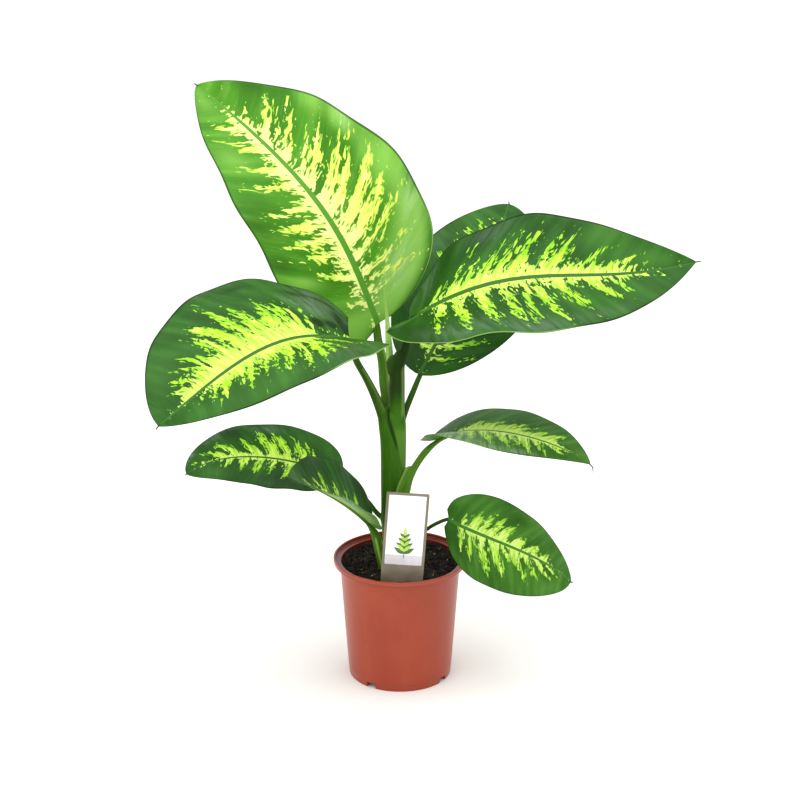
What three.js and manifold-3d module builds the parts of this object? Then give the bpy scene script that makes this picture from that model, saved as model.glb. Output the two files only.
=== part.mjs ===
// A dieffenbachia in a plastic nursery pot: pot, soil, stem, eight leaves, a rolled new leaf and a label.
// Millimetres, +Z up. The origin is the middle of the pot's foot, on the floor.
import * as THREE from 'three';
import { mergeVertices } from 'three/addons/utils/BufferGeometryUtils.js';
import Module from 'manifold-3d';

const wasm = await Module();
wasm.setup();

// Gap kept between a piece and the neighbour that carries it.
const GAP = 0.3;

// Pot
const POT_HEIGHT = 160;
const RIM_RADIUS = 85;
const RIM_BAND = 6.5;
const LIP_RADIUS = 82.4;
const NECK_RADIUS = 76.8;
const FOOT_RADIUS = 66;
const POT_WALL = 1.7;
const FOOT_HEIGHT = 8;
const FOOT_RING_WIDTH = 4;
const CENTRE_FOOT_RADIUS = 9;
const NOTCH_WIDTH = 13;
const NOTCH_HEIGHT = 6.6;
const NOTCH_COUNT = 4;
const FIRST_NOTCH_DEG = 236;
const POT_SEGMENTS = 48;
const EDGE_ROUND = 0.8;

// Soil
const SOIL_LEVEL = 152;
const SOIL_RELIEF = 1.3;
const SOIL_EDGE_DROP = 2;
const SOIL_RINGS = [0.93, 0.72, 0.48, 0.24];

// Stem: height above the floor, sideways shift, and radius at each level.
const STEM_BOTTOM = 128;
const STEM_LEVELS = [
  { z: STEM_BOTTOM, x: -9, radius: 12.5 },
  { z: 152, x: -9, radius: 13.2 },
  { z: 186, x: -9, radius: 13.4 },
  { z: 206, x: -9.5, radius: 14.6 },
  { z: 213, x: -10, radius: 15.8 },
  { z: 220, x: -9.5, radius: 14.6 },
  { z: 262, x: -9, radius: 15.2 },
  { z: 300, x: -8.6, radius: 15.8 },
  { z: 334, x: -9, radius: 16.2 },
  { z: 352, x: -9.5, radius: 14.6 },
  { z: 361, x: -9.5, radius: 9 },
];
const STEM_SIDES = 18;

// Label
const LABEL_WIDTH = 53;
const LABEL_HEIGHT = 118;
const LABEL_THICKNESS = 0.9;
const LABEL_STAKE = 26;
const LABEL_TIP_WIDTH = 14;
const LABEL_LEAN_DEG = 4;
const LABEL_MIDDLE_X = 2;
const LABEL_Y = -60;
const LABEL_CORNER = 1.5;
const LABEL_SHOULDER = 6;

// Leaves. rib: the four control points of the midrib, from the petiole to the tip.
// faces: the way the upper side looks at the base and at the tip, as degrees round from the front and up.
// half: width of the two halves. fold: how far the halves rise from the midrib, base and tip, in degrees.
// curl: how far each half bows up (or, below zero, down) as a share of its width.
// lobe: how far either half reaches back past the petiole, as a share of the length.
// lift: how far the lobes bend up behind the petiole, where they do.
// full and taper: how quickly each half widens from the base and narrows to the tip.
// open: gap between the lobes.
// ripple: in-and-out wave of the outline as a share of the width, waves along the leaf, and their starts.
// wave: margin wave height, waves along the leaf, and where they start on either half.
// petiole: x, y, z and radius from the stem to the blade.
const LEAVES = {
  leaf_top_left: {
    rib: [[-28, 66, 449], [-65, 27, 562], [-80, 41, 620], [-256, 155, 736]],
    faces: [[0, 53], [21, 24]],
    half: [118, 102],
    fold: [6, 10],
    curl: 0.04,
    lobe: [0.007, 0.025],
    full: [0.44, 0.41],
    taper: [0.78, 0.75],
    open: 0.003,
    ripple: [0.027, 3.7, -3.1, 0.7],
    wave: [3.5, 3.3, 0.6, 2.4],
    petiole: [
      [-16.5, 4, 340, 6],
      [-18, 8, 358, 6],
      [-18, 11, 372, 6],
      [-20, 16, 386, 6],
      [-22, 31, 411, 6],
      [-27.5, 47, 433, 5.4],
    ],
    rootRadius: 4.6,
    color: 0x4f9a2f,
  },
  leaf_right: {
    rib: [[12, 9, 472], [144, -34, 573], [218, -1, 508], [362, 16, 543]],
    faces: [[4, 68], [7, 41]],
    half: [97, 87],
    fold: [-5, 12],
    curl: 0.11,
    lobe: [0.092, 0],
    lift: 2.3,
    full: [0.82, 0.56],
    taper: [1.02, 0.88],
    open: 0.003,
    ripple: [0.017, 2.6, -1.4, -1.2],
    wave: [3, 3.6, 1.2, 3.8],
    petiole: [
      [-5, -2, 338, 9],
      [-4.5, -3, 356, 9.4],
      [-3.8, -2.5, 376, 9.6],
      [-3.6, -1.5, 396, 9.6],
      [-3.2, 0, 412, 9.2],
      [2.4, 3, 424, 6],
      [6, 5.5, 434, 5.1],
    ],
    rootRadius: 4,
    color: 0x3d7a35,
  },
  leaf_back_right: {
    rib: [[25, 52, 387], [63, 113, 447], [116, 168, 504], [145, 239, 564]],
    faces: [[-7, 54], [-6, 51]],
    half: [89, 90],
    fold: [3, 2],
    curl: -0.03,
    lobe: [0.004, 0.004],
    full: [0.62, 0.61],
    taper: [0.65, 0.66],
    open: 0.003,
    ripple: [0.023, 2.8, 0.8, 1.0],
    wave: [3, 3.1, 0.2, 2.9],
    petiole: [[1, 6, 331, 4], [4, 13, 342, 4], [9, 21, 355, 4], [17, 34, 371, 3.7]],
    rootRadius: 3.3,
    color: 0x336e2e,
  },
  leaf_left: {
    rib: [[-59, -74, 470], [-139, -152, 513], [-181, -207, 490], [-264, -280, 435]],
    faces: [[-24, 63], [-19, 44]],
    half: [118, 113],
    fold: [27, 14],
    curl: -0.17,
    lobe: [0.096, 0.11],
    full: [0.53, 0.57],
    taper: [0.64, 0.83],
    open: 0.032,
    ripple: [0.047, 3.2, -1.5, 0.1],
    wave: [3, 3.4, 2.2, 0.4],
    petiole: [
      [-17, -4, 329, 6.2],
      [-23, -9, 357, 6.2],
      [-31, -20, 383, 5.6],
      [-41, -38, 411, 4.6],
      [-52, -56, 438, 4.1],
    ],
    rootRadius: 3.8,
    color: 0x3a7638,
  },
  leaf_lower_left_back: {
    rib: [[-86, 13, 268], [-145, 23, 287], [-223, 10, 305], [-267, -17, 278]],
    faces: [[-1, 68], [3, 61]],
    half: [56, 59],
    fold: [10, 4],
    curl: -0.01,
    lobe: [0.064, 0.064],
    full: [0.46, 0.43],
    taper: [0.68, 0.66],
    open: 0.012,
    ripple: [0.023, 2.2, -1.4, 0.3],
    wave: [2.2, 3.2, 0.9, 2.7],
    petiole: [[-17, 2, 206, 3.4], [-30, 4, 218, 3.2], [-43, 7, 234, 3], [-63, 10, 250, 2.8]],
    rootRadius: 2.5,
    color: 0x36702f,
  },
  leaf_lower_left_front: {
    rib: [[-37, -17, 211], [-67, -46, 254], [-100, -85, 287], [-134, -123, 316]],
    faces: [[-12, 65], [-41, 30]],
    half: [53, 52],
    fold: [24, 20],
    curl: 0.07,
    lobe: [0.051, 0.051],
    full: [0.61, 0.63],
    taper: [0.8, 0.71],
    open: 0.017,
    ripple: [0.029, 2.3, -2.0, 0.1],
    wave: [1.8, 2.9, 0.3, 2.2],
    petiole: [[-22.5, -26, 132, 4.5], [-22.5, -26, 157, 5.2], [-25.5, -25, 175, 6.2], [-30.5, -21, 196, 5.8]],
    rootRadius: 2.8,
    color: 0x3a7636,
  },
  leaf_small_right: {
    rib: [[49, 12, 315], [92, -5, 345], [183, -42, 340], [231, -81, 315]],
    faces: [[-3, 97], [17, 59]],
    half: [65, 61],
    fold: [23, -2],
    curl: -0.15,
    lobe: [0.075, 0.01],
    full: [0.45, 0.43],
    taper: [1.04, 0.9],
    open: 0.005,
    ripple: [0.036, 3.1, 1.7, -0.5],
    wave: [2.2, 3.4, 1.5, 3.3],
    petiole: [
      [3, -8, 226, 4.5],
      [6, -11, 250, 6.4],
      [12, -9, 270, 5],
      [21, -5, 287, 4.4],
      [34, -1, 304, 4.2],
    ],
    rootRadius: 2.6,
    color: 0x3c7838,
  },
  leaf_low_right: {
    rib: [[60, -43, 228], [103, -100, 224], [171, -99, 208], [212, -79, 159]],
    faces: [[5, 2], [22, 46]],
    half: [56, 50],
    fold: [-2, -9],
    curl: -0.17,
    lobe: [0.036, 0.036],
    full: [0.39, 0.4],
    taper: [0.53, 0.59],
    open: 0.004,
    ripple: [0.014, 1.8, -0.4, -1.0],
    wave: [1.6, 3, 0.5, 2.6],
    petiole: [[-3, -5, 172, 2.8], [10, -14, 181, 2.6], [28, -30, 204, 2.4], [42, -40, 219, 2.3]],
    rootRadius: 2.2,
    color: 0x3a7634,
  },
};
const BLADE_THICKNESS = 1;
const BLADE_ROWS = 17;
const BLADE_COLUMNS = 3;
const BASE_CROWDING = 1.5;
const VEIN_SWEEP = 0.62;
const VEIN_BEND = 1.35;
const RIB_TIP_RADIUS = 0.8;
const RIB_STATIONS = 9;
const RIB_END = 0.93;
const RIB_SINK = 0.8;
const PETIOLE_SIDES = 7;

// Rolled new leaf: x, y, z and radius from the sheath to the tip.
const SPEAR = [
  [-8.5, 12.5, 350, 3.2],
  [-8.3, 14.5, 370, 3.3],
  [-10, 13, 386, 3.6],
  [-11.6, 12, 402, 4],
  [-12.6, 13.5, 418, 4.4],
  [-14, 22, 433, 4.5],
  [-16, 34, 463, 2.7],
  [-20, 36, 510, 0.7],
];
const SPEAR_SIDES = 10;

const POT_COLOR = 0xad5640;
const SOIL_COLOR = 0x241c15;
const STEM_COLOR = 0x4c7f2e;
const SPEAR_COLOR = 0x8dbb52;
const LABEL_COLOR = 0xe9e6df;

const radians = THREE.MathUtils.degToRad;
const clamp = THREE.MathUtils.clamp;

// Closed geometry from plain lists of corners and triangles.
function geometryOf(points, triangles) {
  const geometry = new THREE.BufferGeometry();
  geometry.setAttribute('position', new THREE.Float32BufferAttribute(points.flatMap((p) => p.toArray()), 3));
  geometry.setIndex(triangles.flat());
  return geometry;
}

// Solid for joining and cutting, made from a closed geometry.
function solidOf(geometry) {
  const bare = geometry.clone();
  bare.deleteAttribute('normal');
  bare.deleteAttribute('uv');
  const merged = mergeVertices(bare, 1e-4);
  return new wasm.Manifold(new wasm.Mesh({
    numProp: 3,
    vertProperties: new Float32Array(merged.attributes.position.array),
    triVerts: new Uint32Array(merged.index.array),
  }));
}

// Flat-shaded mesh from a solid.
function meshOf(name, solid, color, roughness) {
  const data = solid.getMesh();
  const geometry = new THREE.BufferGeometry();
  geometry.setAttribute('position', new THREE.Float32BufferAttribute(data.vertProperties, 3));
  geometry.setIndex(Array.from(data.triVerts));
  const material = new THREE.MeshStandardMaterial({ color, roughness, metalness: 0, flatShading: true });
  const mesh = new THREE.Mesh(geometry, material);
  mesh.name = name;
  return mesh;
}

// Body turned round +Z from a closed or axis-to-axis profile of [radius, height] pairs.
function turned(profile) {
  const points = profile.map(([r, z]) => new THREE.Vector2(r, z));
  return new THREE.LatheGeometry(points, POT_SEGMENTS).rotateX(Math.PI / 2);
}

// Tube with round rings of changing radius along a run of points, closed by a flat end at the start
// and by a point or flat end at the finish.
function sweep(stations, sides) {
  const points = [];
  const triangles = [];
  const across = new THREE.Vector3(0, 1, 0);
  stations.forEach((station, i) => {
    const before = stations[Math.max(i - 1, 0)].at;
    const after = stations[Math.min(i + 1, stations.length - 1)].at;
    const along = after.clone().sub(before).normalize();
    across.addScaledVector(along, -across.dot(along)).normalize();
    const upward = along.clone().cross(across);
    for (let k = 0; k < sides; k += 1) {
      const angle = (2 * Math.PI * k) / sides;
      const rim = across.clone().multiplyScalar(Math.cos(angle)).addScaledVector(upward, Math.sin(angle));
      points.push(station.at.clone().addScaledVector(rim, station.radius));
    }
  });
  for (let i = 0; i + 1 < stations.length; i += 1) {
    for (let k = 0; k < sides; k += 1) {
      const a = i * sides + k;
      const b = i * sides + ((k + 1) % sides);
      triangles.push([a, b, b + sides], [a, b + sides, a + sides]);
    }
  }
  const last = (stations.length - 1) * sides;
  for (let k = 1; k + 1 < sides; k += 1) {
    triangles.push([0, k + 1, k], [last, last + k, last + k + 1]);
  }
  return geometryOf(points, triangles);
}

// Stations of a smooth run through [x, y, z, radius] knots, with a few stations on each stretch.
function smoothRun(knots, perStretch) {
  const curve = new THREE.CatmullRomCurve3(knots.map(([x, y, z]) => new THREE.Vector3(x, y, z)));
  const count = (knots.length - 1) * perStretch;
  const stations = [];
  for (let i = 0; i <= count; i += 1) {
    const place = i / perStretch;
    const low = Math.min(Math.floor(place), knots.length - 2);
    const radius = THREE.MathUtils.lerp(knots[low][3], knots[low + 1][3], place - low);
    stations.push({ at: curve.getPoint(i / count), radius });
  }
  return stations;
}

// Unit vector for a way of looking, in degrees round from the front and up.
function lookingTo([round, up]) {
  const a = radians(round);
  const e = radians(up);
  return new THREE.Vector3(Math.sin(a) * Math.cos(e), -Math.cos(a) * Math.cos(e), Math.sin(e));
}

// Place on the midrib with its directions: along the rib, across the blade and up from its face.
function ribFrame(leaf, along) {
  const t = leaf.curve.getUtoTmapping(clamp(along, 0, 1));
  const tangent = leaf.curve.getTangent(t);
  const back = Math.min(along, 0) * leaf.length;
  const at = leaf.curve.getPoint(t).addScaledVector(tangent, back);
  const face = lookingTo(leaf.faces[0]).multiplyScalar(1 - t).addScaledVector(lookingTo(leaf.faces[1]), t);
  const across = tangent.clone().cross(face).normalize();
  const up = across.clone().cross(tangent);
  at.addScaledVector(up, ((leaf.lift ?? 0) * back * back) / leaf.length);
  return { at, tangent, across, up };
}

// Point of the blade's upper face: along is the share of the rib's length, aside is in millimetres.
function bladePoint(leaf, along, aside) {
  const { at, across, up } = ribFrame(leaf, along);
  const share = clamp(along, 0, 1);
  const fold = radians(THREE.MathUtils.lerp(leaf.fold[0], leaf.fold[1], share));
  const width = Math.abs(aside);
  const mean = (leaf.half[0] + leaf.half[1]) / 2;
  const [height, waves, startPlus, startMinus] = leaf.wave;
  const start = aside > 0 ? startPlus : startMinus;
  const wave = height * Math.sin(2 * Math.PI * waves * share + start) * (width / mean) ** 2;
  const rise = width * Math.sin(fold) + (leaf.curl * width * width) / mean + wave;
  return at.addScaledVector(across, Math.sign(aside) * width * Math.cos(fold)).addScaledVector(up, rise);
}

// Place on the outline for the side vein that starts at the share t of the midrib.
function marginPlace(leaf, t, side) {
  const place = leaf.open + (1 - leaf.open) * t ** VEIN_SWEEP;
  const which = side > 0 ? 0 : 1;
  const full = leaf.full[which];
  const taper = leaf.taper[which];
  const peak = (full / (full + taper)) ** full * (taper / (full + taper)) ** taper;
  const [depth, waves, ...starts] = leaf.ripple;
  const ripple = 1 + depth * Math.sin(2 * Math.PI * waves * place + starts[which]);
  const aside = (leaf.half[which] * ripple * place ** full * Math.max(1 - place, 0) ** taper) / peak;
  return { along: (1 + leaf.lobe[which]) * place - leaf.lobe[which], aside: side * aside };
}

// Waved blade of even thickness, split into triangles alike on both faces.
function bladeGeometry(leaf) {
  const wide = 2 * BLADE_COLUMNS + 1;
  const upper = [];
  for (let i = 0; i < BLADE_ROWS; i += 1) {
    const t = (i / BLADE_ROWS) ** BASE_CROWDING;
    for (let j = -BLADE_COLUMNS; j <= BLADE_COLUMNS; j += 1) {
      const share = Math.abs(j) / BLADE_COLUMNS;
      const edge = marginPlace(leaf, t, Math.sign(j) || 1);
      const along = t + (edge.along - t) * share ** VEIN_BEND;
      upper.push(bladePoint(leaf, along, edge.aside * share));
    }
  }
  const tip = upper.length;
  upper.push(bladePoint(leaf, 1, 0));
  const faces = [];
  for (let i = 0; i + 1 < BLADE_ROWS; i += 1) {
    for (let j = 0; j + 1 < wide; j += 1) {
      const a = i * wide + j;
      const b = a + 1;
      const c = a + wide;
      const d = c + 1;
      if (j < BLADE_COLUMNS) faces.push([a, b, c], [b, d, c]);
      else faces.push([a, b, d], [a, d, c]);
    }
  }
  const lastRow = (BLADE_ROWS - 1) * wide;
  for (let j = 0; j + 1 < wide; j += 1) faces.push([lastRow + j, lastRow + j + 1, tip]);
  const normals = upper.map(() => new THREE.Vector3());
  faces.forEach(([a, b, c]) => {
    const turn = upper[b].clone().sub(upper[a]).cross(upper[c].clone().sub(upper[a]));
    [a, b, c].forEach((corner) => normals[corner].add(turn));
  });
  const lower = upper.map((p, k) => p.clone().addScaledVector(normals[k].normalize(), -BLADE_THICKNESS));
  const outline = [];
  for (let j = 0; j < wide; j += 1) outline.push(j);
  for (let i = 1; i < BLADE_ROWS; i += 1) outline.push(i * wide + wide - 1);
  outline.push(tip);
  for (let i = BLADE_ROWS - 1; i > 0; i -= 1) outline.push(i * wide);
  const shift = upper.length;
  const triangles = [...faces, ...faces.map(([a, b, c]) => [shift + a, shift + c, shift + b])];
  outline.forEach((a, k) => {
    const b = outline[(k + 1) % outline.length];
    triangles.push([a, shift + b, b], [a, shift + a, shift + b]);
  });
  return geometryOf([...upper, ...lower], triangles);
}

// Petiole that runs on as the midrib, under the blade.
function ribGeometry(leaf) {
  const knots = leaf.petiole.map((knot) => [...knot]);
  for (let k = 0; k <= RIB_STATIONS; k += 1) {
    const share = (k / RIB_STATIONS) * RIB_END;
    const radius = THREE.MathUtils.lerp(leaf.rootRadius, RIB_TIP_RADIUS, Math.sqrt(share));
    const { at, up } = ribFrame(leaf, share);
    knots.push([...at.addScaledVector(up, -RIB_SINK * radius).toArray(), radius]);
  }
  return sweep(smoothRun(knots, 1), PETIOLE_SIDES);
}

function leafSolid(leaf, cutter) {
  leaf.curve = new THREE.CubicBezierCurve3(...leaf.rib.map((p) => new THREE.Vector3(...p)));
  leaf.length = leaf.curve.getLength();
  return solidOf(bladeGeometry(leaf)).add(solidOf(ribGeometry(leaf))).subtract(cutter);
}

function stemGeometry(grow) {
  const stations = STEM_LEVELS.map(({ z, x, radius }) => {
    return { at: new THREE.Vector3(x, 0, z), radius: radius + grow };
  });
  stations[0].at.z -= grow;
  stations[stations.length - 1].at.z += grow;
  return sweep(stations, STEM_SIDES);
}

function potSolid() {
  const bandBottom = POT_HEIGHT - RIM_BAND;
  const shelf = bandBottom + POT_WALL;
  const innerNeck = NECK_RADIUS - POT_WALL;
  const innerFoot = FOOT_RADIUS - POT_WALL;
  const floor = FOOT_HEIGHT + POT_WALL;
  const body = solidOf(turned([
    [0, 0],
    [CENTRE_FOOT_RADIUS - EDGE_ROUND, 0],
    [CENTRE_FOOT_RADIUS, FOOT_HEIGHT],
    [FOOT_RADIUS - FOOT_RING_WIDTH, FOOT_HEIGHT],
    [FOOT_RADIUS - FOOT_RING_WIDTH, 0],
    [FOOT_RADIUS - EDGE_ROUND, 0],
    [FOOT_RADIUS, EDGE_ROUND],
    [NECK_RADIUS, bandBottom - EDGE_ROUND],
    [NECK_RADIUS + EDGE_ROUND, bandBottom],
    [RIM_RADIUS - EDGE_ROUND, bandBottom],
    [RIM_RADIUS, bandBottom + EDGE_ROUND],
    [RIM_RADIUS, POT_HEIGHT - EDGE_ROUND],
    [RIM_RADIUS - EDGE_ROUND, POT_HEIGHT],
    [LIP_RADIUS + EDGE_ROUND, POT_HEIGHT],
    [LIP_RADIUS, POT_HEIGHT - EDGE_ROUND],
    [LIP_RADIUS - EDGE_ROUND / 2, shelf + EDGE_ROUND],
    [LIP_RADIUS - EDGE_ROUND, shelf],
    [innerNeck + EDGE_ROUND, shelf],
    [innerNeck, shelf - EDGE_ROUND],
    [innerFoot, floor],
    [0, floor],
  ]));
  let pot = body;
  for (let k = 0; k < NOTCH_COUNT; k += 1) {
    const notch = new THREE.BoxGeometry(4 * FOOT_RING_WIDTH, NOTCH_WIDTH, 2 * NOTCH_HEIGHT);
    notch.translate(FOOT_RADIUS, 0, 0).rotateZ(radians(FIRST_NOTCH_DEG + (360 * k) / NOTCH_COUNT));
    pot = pot.subtract(solidOf(notch));
  }
  return pot;
}

// Height of the soil's uneven top over its level.
function soilRelief(x, y) {
  return SOIL_RELIEF * (Math.sin(x / 9 + 1) * Math.cos(y / 11) + 0.5 * Math.sin((x + y) / 5));
}

function soilSolid(cutters) {
  const floor = FOOT_HEIGHT + POT_WALL;
  const innerAt = (z) => {
    const share = (z - floor) / (POT_HEIGHT - RIM_BAND + POT_WALL - EDGE_ROUND - floor);
    return THREE.MathUtils.lerp(FOOT_RADIUS, NECK_RADIUS, share) - POT_WALL - GAP;
  };
  const edge = innerAt(SOIL_LEVEL - SOIL_EDGE_DROP);
  const top = SOIL_RINGS.map((share) => [edge * share, SOIL_LEVEL]);
  const geometry = turned([
    [0, floor],
    [innerAt(floor), floor],
    [edge, SOIL_LEVEL - SOIL_EDGE_DROP],
    ...top,
    [0, SOIL_LEVEL],
  ]);
  const place = geometry.attributes.position;
  for (let i = 0; i < place.count; i += 1) {
    if (place.getZ(i) > SOIL_LEVEL - SOIL_EDGE_DROP / 2) {
      place.setZ(i, SOIL_LEVEL + soilRelief(place.getX(i), place.getY(i)));
    }
  }
  return cutters.reduce((soil, cutter) => soil.subtract(cutter), solidOf(geometry));
}

// Upright card with a tapered foot in the soil.
function labelSolid(grow) {
  const half = LABEL_WIDTH / 2 + grow;
  const tip = LABEL_TIP_WIDTH / 2 + grow;
  const outline = new THREE.Shape();
  outline.moveTo(-tip, -LABEL_STAKE - grow);
  outline.lineTo(tip, -LABEL_STAKE - grow);
  outline.lineTo(half, -LABEL_SHOULDER);
  outline.lineTo(half, LABEL_HEIGHT - LABEL_CORNER);
  outline.lineTo(half - LABEL_CORNER, LABEL_HEIGHT);
  outline.lineTo(-half + LABEL_CORNER, LABEL_HEIGHT);
  outline.lineTo(-half, LABEL_HEIGHT - LABEL_CORNER);
  outline.lineTo(-half, -LABEL_SHOULDER);
  outline.closePath();
  const depth = LABEL_THICKNESS + 2 * grow;
  const card = new THREE.ExtrudeGeometry(outline, { depth, bevelEnabled: false });
  card.translate(0, 0, -depth / 2).rotateX(Math.PI / 2).rotateY(radians(LABEL_LEAN_DEG));
  return solidOf(card.translate(LABEL_MIDDLE_X, LABEL_Y, SOIL_LEVEL));
}

const plant = new THREE.Group();
const stem = solidOf(stemGeometry(0));
const stemCutter = solidOf(stemGeometry(GAP));
const front = LEAVES.leaf_lower_left_front;
const grownPetiole = front.petiole.map(([x, y, z, radius]) => [x, y, z, radius + GAP]);
grownPetiole[0][2] -= GAP;
const frontHole = solidOf(sweep(smoothRun(grownPetiole, 2), PETIOLE_SIDES * 2));

plant.add(meshOf('pot', potSolid(), POT_COLOR, 0.55));
plant.add(meshOf('soil', soilSolid([stemCutter, frontHole, labelSolid(GAP)]), SOIL_COLOR, 0.95));
plant.add(meshOf('stem', stem, STEM_COLOR, 0.5));
for (const [name, leaf] of Object.entries(LEAVES)) {
  plant.add(meshOf(name, leafSolid(leaf, stemCutter), leaf.color, 0.42));
}
const spear = solidOf(sweep(smoothRun(SPEAR, 3), SPEAR_SIDES)).subtract(stemCutter);
plant.add(meshOf('spear', spear, SPEAR_COLOR, 0.45));
plant.add(meshOf('label', labelSolid(0), LABEL_COLOR, 0.6));

export default plant;
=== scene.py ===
import math
from types import SimpleNamespace

import bpy
import numpy as np
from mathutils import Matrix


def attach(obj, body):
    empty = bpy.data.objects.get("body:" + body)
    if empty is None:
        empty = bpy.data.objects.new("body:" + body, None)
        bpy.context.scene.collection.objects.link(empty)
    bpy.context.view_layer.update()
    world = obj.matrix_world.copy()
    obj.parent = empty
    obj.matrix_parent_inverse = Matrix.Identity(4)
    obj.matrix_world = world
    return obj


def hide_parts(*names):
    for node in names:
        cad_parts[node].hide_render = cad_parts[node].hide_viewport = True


# Looks of a dieffenbachia in a plastic nursery pot. Blender works in metres. The plant's own values
# below are in millimetres, in the solids' frame: +Z up, origin at the middle of the pot's foot.
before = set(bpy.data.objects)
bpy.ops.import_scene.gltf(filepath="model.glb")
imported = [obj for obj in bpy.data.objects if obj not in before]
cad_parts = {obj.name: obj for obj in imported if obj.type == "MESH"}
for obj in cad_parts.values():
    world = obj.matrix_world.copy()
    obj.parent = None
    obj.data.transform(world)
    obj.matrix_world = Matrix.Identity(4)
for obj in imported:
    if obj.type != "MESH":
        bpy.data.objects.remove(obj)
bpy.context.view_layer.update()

MM = 0.001
SEED = 11

# Camera: 800 x 800 picture, level horizon.
CAMERA_PLACE = (0.0, -2.235, 1.131)
CAMERA_PITCH_DEG = 18.8
CAMERA_LENS = 85.5
CAMERA_SENSOR = 36.0
CAMERA_FAR = 30
FLOOR_REACH = 9000
SKY_STRENGTH = 1.06
# Soft boxes: place and size in metres, and power in watts. All look at the same place.
LIGHTS = {
    "top_box": ((0.1, -0.2, 2.4), (2.2, 2.2), 33),
    "left_box": ((-1.8, -1.5, 1.3), (1.0, 1.4), 9),
}
LIGHT_AIM = (0, 0, 0.4)

# Pot
POT_HEIGHT = 160
RIM_RADIUS = 85
RIM_BAND = 6.5
BAND_BOTTOM = POT_HEIGHT - RIM_BAND
LIP_RADIUS = 82.4
NECK_RADIUS = 76.8
FOOT_RADIUS = 66
POT_WALL = 1.7
FOOT_HEIGHT = 8
FOOT_RING_WIDTH = 4
CENTRE_FOOT_RADIUS = 9
NOTCH_WIDTH = 13
NOTCH_HEIGHT = 6.6
NOTCH_COUNT = 4
FIRST_NOTCH_DEG = 236
FOOT_STEP = 0.35
FOOT_STEP_HEIGHT = 8.0
BEND_RADIUS = 70
BEND_HEIGHT = 110
AXIS_HOLE = 0.5
FOOT_EDGE = 0.8
NECK_EDGE = 1.0
BAND_EDGE = 1.1
RIM_EDGE = 1.2
LIP_EDGE = 0.9
POT_SEGMENTS = 192
WALL_RINGS = 34

# Soil
SOIL_LEVEL = 152
SOIL_RELIEF = 1.3
SOIL_DENT = 2.4
SOIL_RADIUS = 74.6
SOIL_FOOT_RADIUS = 64
SOIL_CLEARANCE = 0.3
SOIL_EDGE_DROP = 2
SOIL_RINGS = 90
SOIL_SEGMENTS = 240
CRUMBS = 760
CRUMB_RADII = (0.7, 3.6)
CRUMB_SINK = 0.5
PALE_GRAINS = 110
GRAIN_RADII = (0.4, 1.1)
GRAIN_SINK = 0.35
LUMP_RINGS = 5
LUMP_SIDES = 8
LUMP_STRETCH = (0.65, 1.25)
LUMP_JITTER = (0.78, 1.18)
LUMP_SMALLNESS = 2.5
LUMP_SPACING = 0.8
FIBRES = 54
FIBRE_POINTS = 9
FIBRE_SIDES = 5
FIBRE_LENGTH = (6, 20)
FIBRE_BEND = (-1.2, 1.2)
FIBRE_RISE = (0, 1.6)
FIBRE_RADIUS = (0.16, 0.4)

# Stem: height above the floor, sideways shift and radius at each level.
STEM_LEVELS = [
    (128, -9, 12.5), (152, -9, 13.2), (186, -9, 13.4), (206, -9.5, 14.6), (213, -10, 15.8),
    (220, -9.5, 14.6), (262, -9, 15.2), (300, -8.6, 15.8), (334, -9, 16.2), (352, -9.5, 14.6),
    (361, -9.5, 9),
]
STEM_GREEN = (56, 102, 14)
STEM_SIDES = 96
STEM_STEP = 1.6
# The radius for which the pattern's scale is right, and the cosine at which the stem's back begins.
STEM_RADIUS = 14.0
FRONT_LIMIT = -0.1

# Label
LABEL_WIDTH = 53
LABEL_HEIGHT = 118
LABEL_THICKNESS = 0.9
LABEL_STAKE = 26
LABEL_TIP_WIDTH = 14
LABEL_LEAN_DEG = 4
LABEL_MIDDLE_X = 2
LABEL_Y = -60
LABEL_SHOULDER = 6
LABEL_CORNER = 1.5
LABEL_BORDER = 3.4
LABEL_BAND = 22
LABEL_GROUND = 13
LABEL_ROUNDING = 0.6
LABEL_CLEARANCE = 6
SPRIG_FOOT = LABEL_BAND + 15
SPRIG_STEP = 7
SPRIG_HEIGHT = 26
INLAY = 0.08

# Rolled new leaf: x, y, z and radius from the sheath to the tip.
SPEAR = [
    (-8.5, 12.5, 350, 3.2), (-8.3, 14.5, 370, 3.3), (-10, 13, 386, 3.6), (-11.6, 12, 402, 4),
    (-12.6, 13.5, 418, 4.4), (-14, 22, 433, 4.5), (-16, 34, 463, 2.7), (-20, 36, 510, 0.7),
]
SPEAR_STEP = 2.0
SPEAR_RADIUS = 5.0
# Where the free edge starts and how far it winds, in radians, and how it steps out.
ROLL_START = 2.2
ROLL_WINDING = 3.2
ROLL_INNER = 0.86
ROLL_STEP = 0.2

# Blades: the grid, and how it crowds towards the base and the midrib; the side veins; the relief.
BLADE_THICKNESS = 0.8
BLADE_ROWS = 150
BLADE_COLUMNS = 28
BASE_CROWDING = 1.5
RIB_CROWDING = 1.35
VEIN_SWEEP = 0.62
VEIN_BEND = 1.35
SIDE_VEINS = 15
VEIN_RELIEF = 0.5
PILLOW_ROUNDNESS = 0.8
PILLOW_MEAN = 0.62
RIDGE_HEIGHT = 0.22
RIDGE_WIDTH = 1.05
TYPICAL_LENGTH = 330
# Margin at the base: how far along its own shape reaches, how it widens, and what makes a bulge
# of 1 mm that high at its peak.
BASE_REACH = 0.05
BLUNT_POWER = 0.3
MARGIN_START = 0.001
BULGE_SCALE = 6.75
# Midrib under the blade: radius at its end, how far it goes, how deep it sits and its knots.
RIB_TIP_RADIUS = 0.8
RIB_END = 0.93
RIB_SINK = 0.8
RIB_GAP = 0.35
RIB_KNOTS = 9
RIB_STEPS = 201
RIB_BAND_EDGE = 0.5
BAND_NARROWING = 0.6
UNDER_RIB_PALE = 0.75
UNDER_RIB_BLEND = 30
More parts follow.
